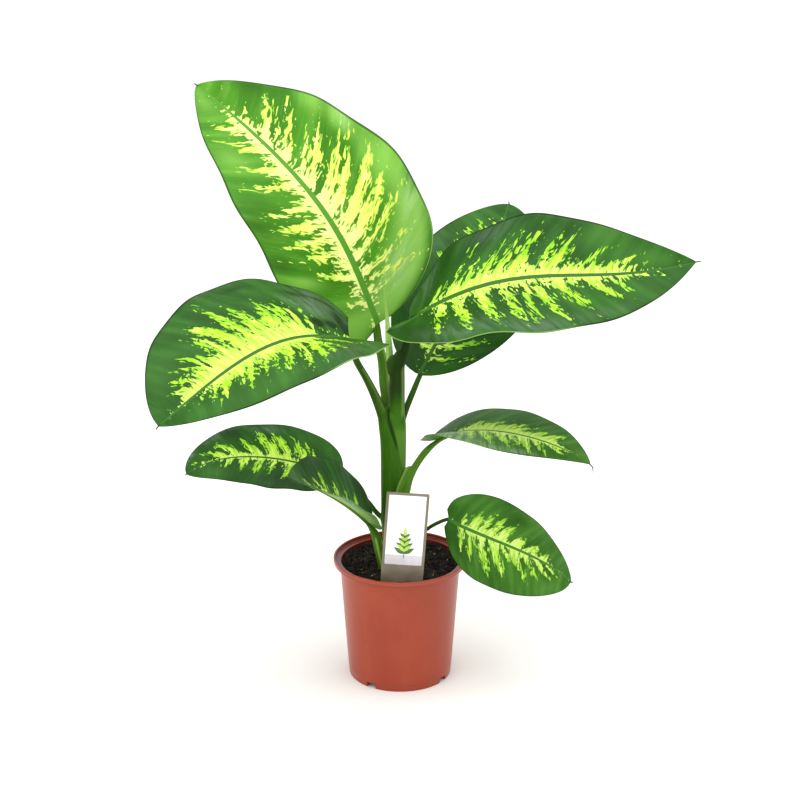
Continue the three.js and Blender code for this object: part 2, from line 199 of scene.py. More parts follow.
# Markings: depth at which a streak is solid, widening against the table, and slope of the flanks.
STREAK_CORE = 9.0
STREAK_FATTENING = 1.3
FLANK_SLOPE = 42
FLANK_BLEND = 0.06
OUTSIDE = -20.0
PALE_MARGIN_BLEND = 0.08
# How far apart the leaves lie in the noise, so that no two have the same pattern.
LEAF_SPACING = 53.0
# Petioles, and the dry ends of the tips.
TUBE_SIDES = 48
PETIOLE_STEP = 2.5
PETIOLE_RADIUS = 6.0
DRIP_SIDES = 12
DRIP_STEP = 0.6
DRIP_RADIUS = 0.8
WING_RUNOUT = 4.0

GREEN_ROUGHNESS = (0.4, 0.52)
DARKENING = 0.35
# Leaf colours as on a screen: the green ground's three and that of its painted sheen, the midrib's, the
# markings' three and the underside's two. limy: how much lime is streaked into the markings.
LEAF_SKINS = {
    "bright": dict(
        limy=0.35, deep=(54, 116, 12), middle=(72, 140, 21), light=(132, 188, 76), milky=(170, 204, 140),
        rib=(82, 144, 40), lime=(170, 214, 66), cream=(234, 240, 112), pale=(244, 246, 170),
        under=(112, 160, 84), under_mark=(170, 200, 120)),
    "dark": dict(
        limy=0.8, deep=(26, 70, 8), middle=(40, 94, 22), light=(72, 126, 46), milky=(98, 122, 98),
        rib=(58, 104, 38), lime=(124, 190, 26), cream=(184, 232, 56), pale=(222, 248, 124),
        under=(84, 124, 60), under_mark=(140, 176, 90)),
    "soft": dict(
        limy=0.8, deep=(40, 88, 14), middle=(58, 110, 28), light=(96, 146, 62), milky=(150, 176, 132),
        rib=(62, 116, 36), lime=(112, 170, 38), cream=(172, 214, 70), pale=(212, 236, 128),
        under=(84, 124, 60), under_mark=(140, 176, 90)),
}

# Leaves, with the solids' own values but for lobe, lift, ripple and wave, which are nearer to the
# photograph on some leaves. Halves come in pairs, the one towards the blade's own across side first.
# rib: the midrib's four control points. faces: the way the upper side looks at the base and at the
# tip, as degrees round from the front and up. half: widths. fold: how far the halves rise from the
# midrib, base and tip. curl: how far they bow up as a share of the width.
# lobe: how far they reach back past the petiole, as a share of the length. lift: how far that bends up.
# full and taper: how quickly they widen from the base and narrow to the tip. open: gap between lobes.
# ripple: in-and-out wave of the outline: depth, waves and its start on either half. wave: the same for
# the margin's height in millimetres. petiole: x, y, z and radius. root: the midrib's radius there.
# beak: how soon the first half reaches its width. blunt: for either half at the base, how early it is
# broad, how far its end swells towards the midrib in millimetres, and how square it is.
# streaks: for either half, each pale streak's start on the midrib, the vein it ends on and how far it
# reaches to the margin, all in hundredths, and its width in millimetres.
# flank: for either half, the pale zone beside the midrib: its start, its end and how far it reaches,
# in hundredths.
# band: width of the plain green strip on the midrib, against the midrib's own radius.
# tints: lighter (or, below zero, darker) places, partly the leaf's own tone and partly painted light and
# shade: vein, place between the margins, size along and across, all in hundredths, and strength.
# sheens: painted sheen, greyer places where the leaf reflects the sky, in the same order.
# pale_margin: the side (1 or -1) whose thin margin line is pale, and up to where.
# drip: where the dry end of the tip ends, from the blade's tip.
# wings: sheath margins: the way they point, how far they stand off the petiole, from and up to what
# height, how wide in radians, and how pale.
# stalk: how light and yellow the petiole is, or below zero how dark.
# foot: the heights between which the stem's colour gives way to the petiole's.
LEAF_DEFAULTS = dict(
    lift=0, beak=0, blunt=[(0, 0, 0), (0, 0, 0)], sheens=[], pale_margin=(0, 0), drip=None, wings=[],
    stalk=0, foot=(-1, 0), slot="leaf_dark", skin="dark",
)
LEAVES = {}
LEAVES["leaf_top_left"] = dict(
    rib=[(-28, 66, 449), (-65, 27, 562), (-80, 41, 620), (-256, 155, 736)],
    faces=[(0, 53), (21, 24)], half=(118, 102), fold=(6, 10), curl=0.04, lobe=(0.007, 0.025),
    blunt=[(0, 0, 0), (0.04, 0, 0.72)], full=(0.44, 0.41), taper=(0.78, 0.75), open=0.003,
    ripple=(0.027, 3.7, -3.1, 0.7), wave=(3.5, 3.3, 0.6, 2.4),
    petiole=[(-16.5, 4, 340, 6), (-18, 8, 358, 6), (-18, 11, 372, 6), (-20, 16, 386, 6),
             (-22, 31, 411, 6), (-27.5, 47, 433, 5.4)],
    root=4.6,
    streaks=(
        [(12, 9, 42, 4), (16, 8, 70, 4), (18, 15, 74, 6), (24, 22, 87, 9), (28, 29, 79, 16),
         (33, 35, 93, 15), (39, 42, 88, 13), (43, 46, 85, 12), (50, 54, 77, 14), (53, 58, 52, 9),
         (61, 66, 82, 11), (64, 71, 66, 5), (70, 75, 80, 11), (77, 83, 52, 6), (88, 90, 10, 4)],
        [(9, 10, 35, 6), (19, 20, 48, 12), (28, 24, 59, 10), (34, 27, 72, 11), (39, 33, 73, 11),
         (46, 39, 68, 11), (53, 50, 77, 10), (58, 58, 64, 13), (65, 73, 74, 11), (74, 80, 66, 10),
         (80, 89, 27, 5)],
    ),
    flank=[(20, 86, 10), (14, 84, 20)],
    band=0.95,
    tints=[(58, 94, 5, 12, 0.7), (46, 95, 5, 12, 0.9), (30, 86, 9, 20, 0.7), (16, 85, 7, 30, 1),
           (10, 50, 5, 40, 0.9), (20, 98, 3, 10, -0.9), (7, 97, 8, 10, -0.6), (64, -75, 6, 25, 0.5),
           (42, -90, 6, 20, -0.25), (33, -90, 5, 20, -0.6), (20, -90, 4, 20, -0.7),
           (17, -72, 2, 20, 0.8), (3, -30, 3, 30, 0.3), (80, 95, 10, 20, -0.5), (92, -60, 6, 40, 0.4),
           (46, 72, 5, 10, -0.3), (3, -60, 8, 60, 0.45), (3, 40, 6, 45, 1.0)],
    sheens=[(46, 93, 3, 10, 0.25), (10, 45, 5, 30, 0.35), (18, 90, 4, 15, 0.3)],
    drip=(-3, 0, 1.5),
    wings=[((0.9, -0.5, 0.1), 2.2, 320, 400, 0.34, 0.5), ((0.85, -0.55, 0), 0, 320, 424, 0.95, 0.7)],
    stalk=0.1, pale_margin=(1, 0.1), slot="leaf_bright", skin="bright",
)
LEAVES["leaf_right"] = dict(
    rib=[(12, 9, 472), (144, -34, 573), (218, -1, 508), (362, 16, 543)],
    faces=[(4, 68), (7, 41)], half=(97, 87), fold=(-5, 12), curl=0.11, lobe=(0.092, 0.012),
    lift=2.3, full=(0.82, 0.56), taper=(1.02, 0.88), open=0.003, ripple=(0.017, 2.6, -1.4, -1.2),
    wave=(3, 3.6, 1.2, 3.8),
    petiole=[(-5.5, -3, 334, 11.6), (-4.8, -3.4, 350, 10.9), (-3.9, -2.7, 376, 9.9),
             (-3.6, -1.5, 396, 9.6), (-3.2, 0, 412, 9.2), (2.4, 3, 424, 6), (6, 5.5, 434, 5.1)],
    root=4,
    streaks=(
        [(13, 7, 74, 9), (18, 16, 76, 11), (27, 24, 70, 13), (35, 31, 76, 10), (43, 34, 78, 7),
         (44, 43, 85, 12), (51, 54, 83, 12), (62, 68, 70, 14), (69, 73, 60, 5), (79, 88, 40, 3)],
        [(7, 13, 40, 3), (13, 17, 73, 4), (20, 22, 52, 9), (26, 27, 59, 10), (31, 32, 68, 11),
         (38, 37, 76, 14), (45, 46, 73, 9), (50, 50, 78, 14), (57, 65, 71, 10), (64, 77, 55, 15),
         (73, 82, 39, 6)],
    ),
    flank=[(12, 80, 13), (13, 76, 26)],
    band=0.95,
    tints=[(58, -92, 10, 30, 0.6), (82, -50, 12, 40, 0.6), (44, -90, 8, 20, -0.3),
           (17, -88, 10, 30, -0.5), (1, 73, 4, 30, -0.4), (80, 50, 15, 50, 0.2)],
    sheens=[(20, -88, 6, 15, 0.4), (2, -70, 3, 40, 0.3), (13, 75, 10, 20, 0.4), (32, 88, 10, 15, 0.35),
            (55, 86, 12, 10, 0.2)],
    drip=(5.5, 0, -0.5),
    wings=[((-1, -0.4, 0), 3.4, 405, 424, 0.5, 0.1), ((-1, -0.6, 0), 7, 412, 431, 0.25, 0.1),
           ((0.9, -0.9, 0), 0.8, 352, 416, 0.3, 0.45)],
    stalk=-0.85, blunt=[(0.03, 8, 0), (0.06, 0, 0.6)], foot=(356, 388), pale_margin=(1, 0.4),
)
LEAVES["leaf_back_right"] = dict(
    rib=[(25, 52, 387), (63, 113, 447), (116, 168, 504), (145, 239, 564)],
    faces=[(-7, 54), (-6, 51)], half=(89, 90), fold=(3, 2), curl=-0.03, lobe=(0.004, 0.004),
    full=(0.62, 0.61), taper=(0.65, 0.66), open=0.003, ripple=(0.023, 2.8, 0.8, 1.0),
    wave=(3, 3.1, 0.2, 2.9),
    petiole=[(1, 6, 331, 4), (4, 13, 342, 4), (9, 21, 355, 4), (17, 34, 371, 3.7)],
    root=3.3,
    streaks=(
        [(10, 7, 74, 3), (15, 17, 68, 5), (30, 33, 60, 7), (42, 45, 65, 9), (55, 58, 60, 9),
         (70, 74, 50, 8), (86, 90, 20, 4)],
        [(16, 11, 30, 6), (30, 38, 50, 7), (42, 52, 70, 7), (52, 68, 72, 5), (68, 75, 69, 6),
         (74, 83, 62, 7), (84, 87, 37, 7)],
    ),
    flank=[(10, 85, 6), (12, 86, 10)],
    band=0.7,
    tints=[(80, -90, 15, 40, 0.3), (10, 80, 20, 60, -0.2), (20, -30, 12, 50, -0.7),
           (2, 50, 5, 50, 0.4)],
    sheens=[(55, -90, 10, 15, 0.2)],
    drip=(-1.5, 0, 3), stalk=-0.15,
)
LEAVES["leaf_left"] = dict(
    rib=[(-59, -74, 470), (-139, -152, 513), (-181, -207, 490), (-264, -280, 435)],
    faces=[(-24, 63), (-19, 44)], half=(118, 113), fold=(27, 14), curl=-0.17, lobe=(0.096, 0.11),
    full=(0.53, 0.57), taper=(0.64, 0.83), open=0.032, ripple=(0.018, 3.2, -1.5, 0.1),
    wave=(3, 3.4, 2.2, 0.4),
    petiole=[(-14.5, -2, 320, 10.5), (-17.6, -5, 339, 9.2), (-21.4, -8.6, 354, 7.2),
             (-31, -20, 383, 5.6), (-41, -38, 411, 4.6), (-52, -56, 438, 4.1)],
    root=3.8,
    streaks=(
        [(19, 15, 39, 5), (23, 19, 48, 8), (28, 22, 51, 12), (35, 28, 56, 12), (40, 37, 63, 16),
         (46, 43, 79, 13), (49, 55, 76, 14), (56, 61, 70, 11), (61, 70, 56, 12), (65, 75, 50, 10),
         (72, 82, 50, 12), (77, 86, 37, 9)],
        [(31, 13, 59, 6), (35, 20, 69, 6), (30, 26, 72, 8), (29, 31, 78, 12), (33, 37, 81, 10),
         (37, 45, 68, 14), (43, 50, 59, 8), (48, 55, 64, 9), (56, 62, 70, 9), (61, 64, 51, 10),
         (66, 73, 62, 12), (71, 78, 56, 6), (76, 85, 45, 4)],
    ),
    flank=[(20, 84, 30), (24, 74, 30)],
    band=1.0,
    tints=[(12, 22, 2.4, 6, -2), (5.8, 22, 2, 5.5, -2), (0.5, 34, 1.8, 20, -1.6), (9.5, 74, 3, 5, -1),
           (4, 77, 3, 3, -0.8), (1.8, 77, 2, 5, -0.8), (24, 86, 4, 5, -0.7), (2, 50, 5, 30, -0.5),
           (80, 70, 15, 40, 0.3), (60, -80, 30, 30, 0.3), (17, 78, 5, 20, 0.2),
           (20, -80, 10, 20, -0.3)],
    sheens=[(5, 65, 6, 30, 0.6), (9, 42, 4, 14, 0.4), (15, 56, 2, 7, 0.6), (20, -80, 10, 20, 0.25)],
    drip=(-2, -1, -4),
    wings=[((0.7, -0.7, 0), 0, 360, 430, 0.7, 0.2)],
    stalk=-0.4, foot=(338, 366), pale_margin=(-1, 0.3),
)
LEAVES["leaf_lower_left_back"] = dict(
    rib=[(-86, 13, 268), (-145, 23, 287), (-223, 10, 305), (-267, -17, 278)],
    faces=[(-1, 68), (3, 61)], half=(56, 59), fold=(10, 4), curl=-0.01, lobe=(0.064, 0.064),
    full=(0.46, 0.43), taper=(0.68, 0.66), open=0.012, ripple=(0.014, 2.2, -1.4, 0.3),
    wave=(1.1, 3.2, 0.9, 2.7),
    petiole=[(-17, 2, 206, 3.4), (-30, 4, 218, 3.2), (-43, 7, 234, 3), (-63, 10, 250, 2.8)],
    root=2.5,
    streaks=(
        [(12, 15, 60, 4), (19, 21, 65, 8), (29, 31, 76, 11), (38, 40, 77, 13), (50, 54, 66, 9),
         (61, 72, 78, 10), (71, 81, 63, 12), (85, 91, 50, 3)],
        [(27, 24, 65, 9), (39, 37, 50, 7), (48, 48, 58, 8), (58, 59, 54, 8), (68, 72, 47, 6),
         (84, 88, 10, 3)],
    ),
    flank=[(16, 84, 10), (24, 72, 7)],
    band=0.6,
    tints=[(53, 85, 8, 20, -0.6), (7, 80, 10, 40, 0.3), (80, -70, 15, 40, 0.4), (20, -80, 20, 30, -0.5),
           (30, 40, 20, 30, -0.2)],
    sheens=[(88, 93, 5, 12, 0.6), (60, 98, 10, 6, 0.4), (32, 84, 8, 10, 0.5), (68, 88, 6, 8, 0.35),
            (31, -85, 10, 12, 0.2)],
    drip=(-1.5, 0, -1.5),
)
LEAVES["leaf_lower_left_front"] = dict(
    rib=[(-37, -17, 211), (-67, -46, 254), (-100, -85, 287), (-134, -123, 316)],
    faces=[(-12, 65), (-41, 30)], half=(53, 52), fold=(24, 20), curl=0.07, lobe=(0.051, 0.051),
    full=(0.61, 0.63), taper=(0.8, 0.71), open=0.017, ripple=(0.029, 2.3, -2.0, 0.1),
    wave=(1.8, 2.9, 0.3, 2.2),
    petiole=[(-22.5, -26, 132, 4.5), (-22.5, -26, 157, 5.2), (-25.5, -25, 175, 6.2),
             (-30.5, -21, 196, 5.8)],
    root=2.8,
    streaks=(
        [(18, 16, 41, 5), (30, 27, 46, 6), (41, 40, 51, 6), (55, 54, 66, 6), (58, 68, 42, 5),
         (75, 82, 30, 6)],
        [(6, 10, 70, 6), (14, 20, 80, 7), (24, 30, 80, 7), (36, 42, 80, 8), (50, 56, 70, 7),
         (64, 70, 50, 6)],
    ),
    flank=[(20, 80, 3), (6, 78, 70)],
    band=0.5,
    tints=[(30, 70, 30, 40, -0.2), (92, 20, 10, 60, 0.4), (15, -60, 40, 70, 1.7)],
    sheens=[(95, 40, 6, 50, 0.5), (20, -80, 35, 30, 0.9)],
    wings=[((-0.1, -1, 0), 0.8, 120, 196, 0.3, 0.9), ((0.9, -0.4, 0), 1.0, 120, 190, 0.4, 0.7)],
    stalk=0.1, pale_margin=(-1, 0.6),
)
LEAVES["leaf_small_right"] = dict(
    rib=[(49, 12, 315), (92, -5, 345), (183, -42, 340), (231, -81, 315)],
    faces=[(-3, 97), (17, 59)], half=(65, 61), fold=(23, -2), curl=-0.15, lobe=(0.14, 0.06),
    full=(0.45, 0.43), taper=(1.04, 0.9), open=0.005, ripple=(0.016, 3.1, 1.7, -0.5),
    wave=(0.7, 3.4, 1.5, 3.3),
    petiole=[(3, -8, 226, 4.5), (6, -11, 250, 6.4), (12, -9, 270, 5), (21, -5, 287, 4.4),
             (34, -1, 304, 4.2)],
    root=2.6,
    streaks=(
        [(13, 13, 60, 6), (18, 19, 70, 9), (22, 24, 84, 11), (29, 35, 83, 12), (38, 46, 80, 12),
         (46, 53, 70, 8), (53, 59, 85, 12), (62, 68, 80, 11), (68, 81, 60, 10)],
        [(16, 24, 40, 10), (22, 36, 44, 12), (35, 49, 52, 15), (45, 55, 50, 10), (56, 63, 49, 11),
         (66, 71, 74, 9), (74, 86, 15, 8)],
    ),
    flank=[(14, 84, 18), (15, 80, 26)],
    band=0.6,
    tints=[(60, -90, 15, 30, -0.2), (90, -60, 10, 40, 0.3), (5, 40, 4, 40, -0.4)],
    sheens=[(13, 75, 5, 30, 0.8), (20, 60, 5, 30, 0.5), (30, 95, 15, 15, 0.35), (50, 90, 15, 12, 0.25)],
    lift=3, drip=(1, -2, -10), beak=0.12,
    wings=[((-1, -0.3, 0.3), 6, 230, 282, 0.3, 0.9)],
    stalk=0.45, pale_margin=(1, 0.35), skin="soft",
)
LEAVES["leaf_low_right"] = dict(
    rib=[(60, -43, 228), (103, -100, 224), (171, -99, 208), (212, -79, 159)],
    faces=[(5, 2), (22, 46)], half=(56, 50), fold=(-2, -9), curl=-0.17, lobe=(0.036, 0.036),
    full=(0.39, 0.4), taper=(0.53, 0.59), open=0.004, ripple=(0.014, 1.8, -0.4, -1.0),
    wave=(1.6, 3, 0.5, 2.6),
    petiole=[(-3, -5, 172, 2.8), (10, -14, 181, 2.6), (28, -30, 204, 2.4), (42, -40, 219, 2.3)],
    root=2.2,
    streaks=(
        [(14, 10, 60, 6), (21, 18, 58, 8), (29, 31, 82, 11), (36, 43, 71, 12), (43, 50, 40, 5),
         (50, 62, 70, 10), (57, 72, 60, 7), (67, 82, 49, 9), (74, 88, 30, 6)],
        [(13, 11, 34, 4), (23, 17, 54, 10), (27, 25, 60, 9), (34, 32, 61, 9), (40, 40, 57, 13),
         (50, 53, 46, 11), (60, 65, 44, 10), (71, 73, 41, 8)],
    ),
    flank=[(14, 80, 5), (16, 80, 12)],
    band=0.85,
    tints=[(44, -95, 15, 25, 0.3), (35, -75, 10, 15, -0.3), (12, 50, 10, 30, -0.3),
           (80, 75, 10, 30, 0.3)],
    drip=(2.5, 0, -1), stalk=-0.7, skin="soft",
)


# Arrays of points in millimetres, and Blender objects made from them.

def smooth_step(value, low, high):
    share = np.clip((value - low) / (high - low), 0, 1)
    return share * share * (3 - 2 * share)


def past(value, place, blend):
    """Soft step from 0 to 1 at a place."""
    return smooth_step(value, place - blend, place + blend)


def hundredths(values):
    return [value / 100 for value in values]


def unit(vectors):
    return vectors / np.linalg.norm(vectors, axis=-1, keepdims=True)


def circle(sides):
    return np.arange(sides) / sides * 2 * np.pi


def together(*parts):
    """Vectors from their parts, spread over one shape."""
    return np.stack(np.broadcast_arrays(*parts), axis=-1)


def mesh_data(name, points, faces):
    mesh = bpy.data.meshes.new(name)
    mesh.from_pydata((np.reshape(points, (-1, 3)) * MM).tolist(), [], faces)
    return mesh


def linked(name, data):
    thing = bpy.data.objects.new(name, data)
    bpy.context.collection.objects.link(thing)
    return thing


def mesh_object(name, points, faces, material, slot, node, smooth=True, **attributes):
    """A piece of the part, with attributes for its material: "place" is a vector, the others numbers."""
    mesh = mesh_data(name, points, faces)
    for key, values in attributes.items():
        kind, field = ("FLOAT_VECTOR", "vector") if key == "place" else ("FLOAT", "value")
        layer = mesh.attributes.new(key, kind, "POINT")
        layer.data.foreach_set(field, np.ravel(values).astype(np.float32))
    mesh.polygons.foreach_set("use_smooth", [smooth] * len(mesh.polygons))
    mesh.update()
    mesh.materials.append(material)
    piece = linked(name, mesh)
    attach(piece, "root")
    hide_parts(node)
    return piece


def covered_length(points):
    return np.concatenate([[0], np.cumsum(np.linalg.norm(np.diff(points, axis=0), axis=1))])


def smooth_run(knots, step):
    """Points about a step apart on a smooth curve through rows of numbers, the first three a place."""
    knots = np.asarray(knots, dtype=float)
    spans = np.sqrt(np.linalg.norm(np.diff(knots[:, :3], axis=0), axis=1))
    place = np.concatenate([[0], np.cumsum(spans)])
    slope = np.empty_like(knots)
    slope[1:-1] = (knots[2:] - knots[:-2]) / (place[2:] - place[:-2])[:, None]
    slope[0] = (knots[1] - knots[0]) / spans[0]
    slope[-1] = (knots[-1] - knots[-2]) / spans[-1]
    rows = []
    for k, span in enumerate(spans):
        count = max(int(round(span * span / step)), 1)
        s = (np.arange(count) / count)[:, None]
        rows.append(
            (2 * s**3 - 3 * s**2 + 1) * knots[k]
            + (s**3 - 2 * s**2 + s) * span * slope[k]
            + (3 * s**2 - 2 * s**3) * knots[k + 1]
            + (s**3 - s**2) * span * slope[k + 1]
        )
    rows.append(knots[-1:])
    return np.vstack(rows)


def spokes_along(points, sides):
    """Directions along a run of points, and those round it that turn as little as they can."""
    along = unit(np.gradient(points, axis=0))
    across = np.empty_like(points)
    side = np.array([0.0, 1.0, 0.0])
    for k, direction in enumerate(along):
        side = side - direction * side.dot(direction)
        side = side / np.linalg.norm(side)
        across[k] = side
    upward = np.cross(along, across)
    angle = circle(sides)[None, :, None]
    return along, across[:, None] * np.cos(angle) + upward[:, None] * np.sin(angle)


def ring_faces(rings, sides, first=0):
    faces = []
    for i in range(rings - 1):
        for k in range(sides):
            a = first + i * sides + k
            b = first + i * sides + (k + 1) % sides
            faces.append((a, b, b + sides, a + sides))
    faces.append(tuple(first + k for k in reversed(range(sides))))
    last = first + (rings - 1) * sides
    faces.append(tuple(last + k for k in range(sides)))
    return faces


def ring_object(name, rings, material, slot, node, **attributes):
    """A piece that is one closed skin over rows of ring points."""
    faces = ring_faces(*rings.shape[:2])
    return mesh_object(name, rings, faces, material, slot, node, **attributes)


def ring_points(radius, height, segments):
    """Rings about the pot's axis, a row for each radius."""
    turns = circle(segments)
    return together(radius[:, None] * np.cos(turns), radius[:, None] * np.sin(turns), height)


# Leaves

def looking_to(face):
    turn, up = np.radians(face)
    return np.array([math.sin(turn) * math.cos(up), -math.cos(turn) * math.cos(up), math.sin(up)])


def rib_point(rib, s):
    s = s[..., None]
    weights = [(1 - s) ** 3, 3 * (1 - s) ** 2 * s, 3 * (1 - s) * s**2, s**3]
    return sum(weight * point for weight, point in zip(weights, rib))


def rib_slope(rib, s):
    s = s[..., None]
    weights = [(1 - s) ** 2, 2 * (1 - s) * s, s**2]
    return sum(weight * step for weight, step in zip(weights, np.diff(rib, axis=0)))


def prepared(leaf):
    """The leaf with its defaults, the midrib's length and the table that evens out places on it."""
    leaf = {**LEAF_DEFAULTS, **leaf}
    leaf["rib"] = np.array(leaf["rib"], dtype=float)
    steps = np.linspace(0, 1, RIB_STEPS)
    covered = covered_length(rib_point(leaf["rib"], steps))
    leaf["length"] = covered[-1]
    leaf["even"] = (covered / covered[-1], steps)
    return leaf


def rib_radius(leaf, share):
    return leaf["root"] + (RIB_TIP_RADIUS - leaf["root"]) * np.sqrt(np.clip(share, 0, 1))


def rib_frame(leaf, along):
    s = np.interp(np.clip(along, 0, 1), *leaf["even"])
    tangent = unit(rib_slope(leaf["rib"], s))
    back = np.minimum(along, 0) * leaf["length"]
    at = rib_point(leaf["rib"], s) + tangent * back[..., None]
    first, last = [looking_to(face) for face in leaf["faces"]]
    across = unit(np.cross(tangent, first * (1 - s[..., None]) + last * s[..., None]))
    up = np.cross(across, tangent)
    at = at + up * (leaf["lift"] * back**2 / leaf["length"])[..., None]
    return at, tangent, across, up


def blade_point(leaf, along, aside):
    """Points of the blade's upper face: along is a share of the midrib, aside is in millimetres."""
    at, _, across, up = rib_frame(leaf, along)
    share = np.clip(along, 0, 1)
    fold = np.radians(leaf["fold"][0] * (1 - share) + leaf["fold"][1] * share)
    width = np.abs(aside)
    mean = sum(leaf["half"]) / 2
    height, waves, start_plus, start_minus = leaf["wave"]
    start = np.where(aside > 0, start_plus, start_minus)
    wave = height * np.sin(2 * np.pi * waves * share + start) * (width / mean) ** 2
    rise = width * np.sin(fold) + leaf["curl"] * width**2 / mean + wave
    return at + across * (aside * np.cos(fold))[..., None] + up * rise[..., None]


def margin_place(leaf, t, which):
    """Where a side vein meets the margin of one half: along the midrib, and aside from it."""
    place = leaf["open"] + (1 - leaf["open"]) * t**VEIN_SWEEP
    full, taper = leaf["full"][which], leaf["taper"][which]
    peak = (full / (full + taper)) ** full * (taper / (full + taper)) ** taper
    depth, waves, *starts = leaf["ripple"]
    ripple = 1 + depth * np.sin(2 * np.pi * waves * place + starts[which])
    aside = leaf["half"][which] * ripple * place**full * np.clip(1 - place, 0, 1) ** taper / peak
    if leaf["beak"] and which == 0:
        aside = aside * (1 - np.exp(-place / leaf["beak"]))
    rounding = leaf["blunt"][which][0]
    aside = aside * (1 + rounding / np.maximum(place, MARGIN_START)) ** BLUNT_POWER
    lobe = leaf["lobe"][which]
    return (1 + lobe) * place - lobe, aside


def streak_depth(leaf, t, share, which):
    """How far a point lies inside the pale markings, in millimetres; less than 0 outside."""
    first, last, reach = hundredths(leaf["flank"][which])
    within = past(t, first, FLANK_BLEND) * (1 - past(t, last, FLANK_BLEND))
    depth = (reach * within - share) * FLANK_SLOPE
    for *places, width in leaf["streaks"][which]:
        start, end, reach = hundredths(places)
        out = share / reach
        middle = start + (end - start) * out
        core = STREAK_FATTENING * width / 2 * np.clip(1 - out**3, 0, 1)
        beyond = np.maximum(share - reach, 0) * FLANK_SLOPE
        depth = np.maximum(depth, core - np.abs(t - middle) * leaf["length"] - beyond)
    return STREAK_CORE * np.tanh(depth / STREAK_CORE)


def patches(places, t, signed):
    """Sum of soft round patches on the blade."""
    total = np.zeros(t.shape)
    for *place, strength in places:
        vein, aside, along, across = hundredths(place)
        total += strength * np.exp(-((t - vein) / along) ** 2 - ((signed - aside) / across) ** 2)
    return total


def pale_margin(leaf, t, signed):
    """Where the margin's thin line is pale instead of dark."""
    side, last = leaf["pale_margin"]
    return np.where(side * signed > 0, 1 - past(t, last, PALE_MARGIN_BLEND), 0.0)


def blade_grid(leaf):
    """Vein, signed share of the way to the margin, place along and aside, and the margin's aside."""
    rows = (np.arange(BLADE_ROWS) / BLADE_ROWS) ** BASE_CROWDING
    half = (np.arange(BLADE_COLUMNS + 1) / BLADE_COLUMNS) ** RIB_CROWDING
    t, signed = np.meshgrid(rows, np.concatenate([-half[:0:-1], half]), indexing="ij")
    share = np.abs(signed)
    plus = signed > 0
    places = [margin_place(leaf, t, which) for which in (0, 1)]
    edge_along = np.where(plus, places[0][0], places[1][0])
    edge_aside = np.where(plus, places[0][1], -places[1][1])
    near_base = np.exp(-((t / BASE_REACH) ** 2))
    plus_end, minus_end = leaf["blunt"]
    bulge = np.where(plus, plus_end[1], minus_end[1]) * near_base
    square = np.where(plus, plus_end[2], minus_end[2]) * near_base
    along = t + (edge_along - t) * share ** (VEIN_BEND * (1 - square))
    swelling = BULGE_SCALE * share**2 * (1 - share) * np.sign(signed)
    return t, signed, along, edge_aside * share - bulge * swelling, edge_aside


def blade_surfaces(leaf, t, share, along, aside):
    """Upper and lower points, the side veins pressed in and the midrib raised, and the normals."""
    points = blade_point(leaf, along, aside)
    normal = unit(np.cross(np.gradient(points, axis=1), np.gradient(points, axis=0)))
    up = rib_frame(leaf, along)[3]
    normal *= np.sign(np.sum(normal * up, axis=2))[..., None]
    radius = rib_radius(leaf, along)
    ridge = np.clip(1 - (np.abs(aside) / (RIDGE_WIDTH * radius)) ** 2, 0, 1)
    pillow = np.abs(np.sin(np.pi * SIDE_VEINS * t)) ** PILLOW_ROUNDNESS - PILLOW_MEAN
    # The veins' relief dies away towards the midrib and the margin.
    calm = 1.5 * share**0.35 * np.clip(1 - share, 0, 1) ** 0.5
    scale = leaf["length"] / TYPICAL_LENGTH
    relief = RIDGE_HEIGHT * radius * ridge + VEIN_RELIEF * scale * pillow * calm
    points = points + normal * relief[..., None]
    lower = points - normal * (BLADE_THICKNESS * (1 - 0.5 * share**3))[..., None]
    return points, lower, normal


def sheet_faces(rows, columns):
    """Faces of a closed sheet: the upper grid with its tip, the lower one, and the wall between."""
    grid = np.arange(rows * columns).reshape(rows, columns)
    tip = grid.size
    shift = tip + 1
    corners = [grid[:-1, :-1], grid[:-1, 1:], grid[1:, 1:], grid[1:, :-1]]
    upper = np.stack(corners, axis=-1).reshape(-1, 4)
    faces = upper.tolist() + (upper[:, ::-1] + shift).tolist()
    end = grid[-1].tolist()
    for left, right in zip(end, end[1:]):
        faces.append([left, right, tip])
        faces.append([right + shift, left + shift, tip + shift])
    outline = [*grid[0].tolist(), *grid[1:, -1].tolist(), tip, *grid[:0:-1, 0].tolist()]
    for first, second in zip(outline, outline[1:] + outline[:1]):
        faces.append([second, first, first + shift, second + shift])
    return faces


def both_sides(values, tip_value):
    """The same values on the upper and the lower grid, each with the tip's after it."""
    values = np.asarray(values)
    own = np.concatenate([values.reshape(-1, *values.shape[2:]), np.asarray([tip_value])])
    return np.concatenate([own, own])


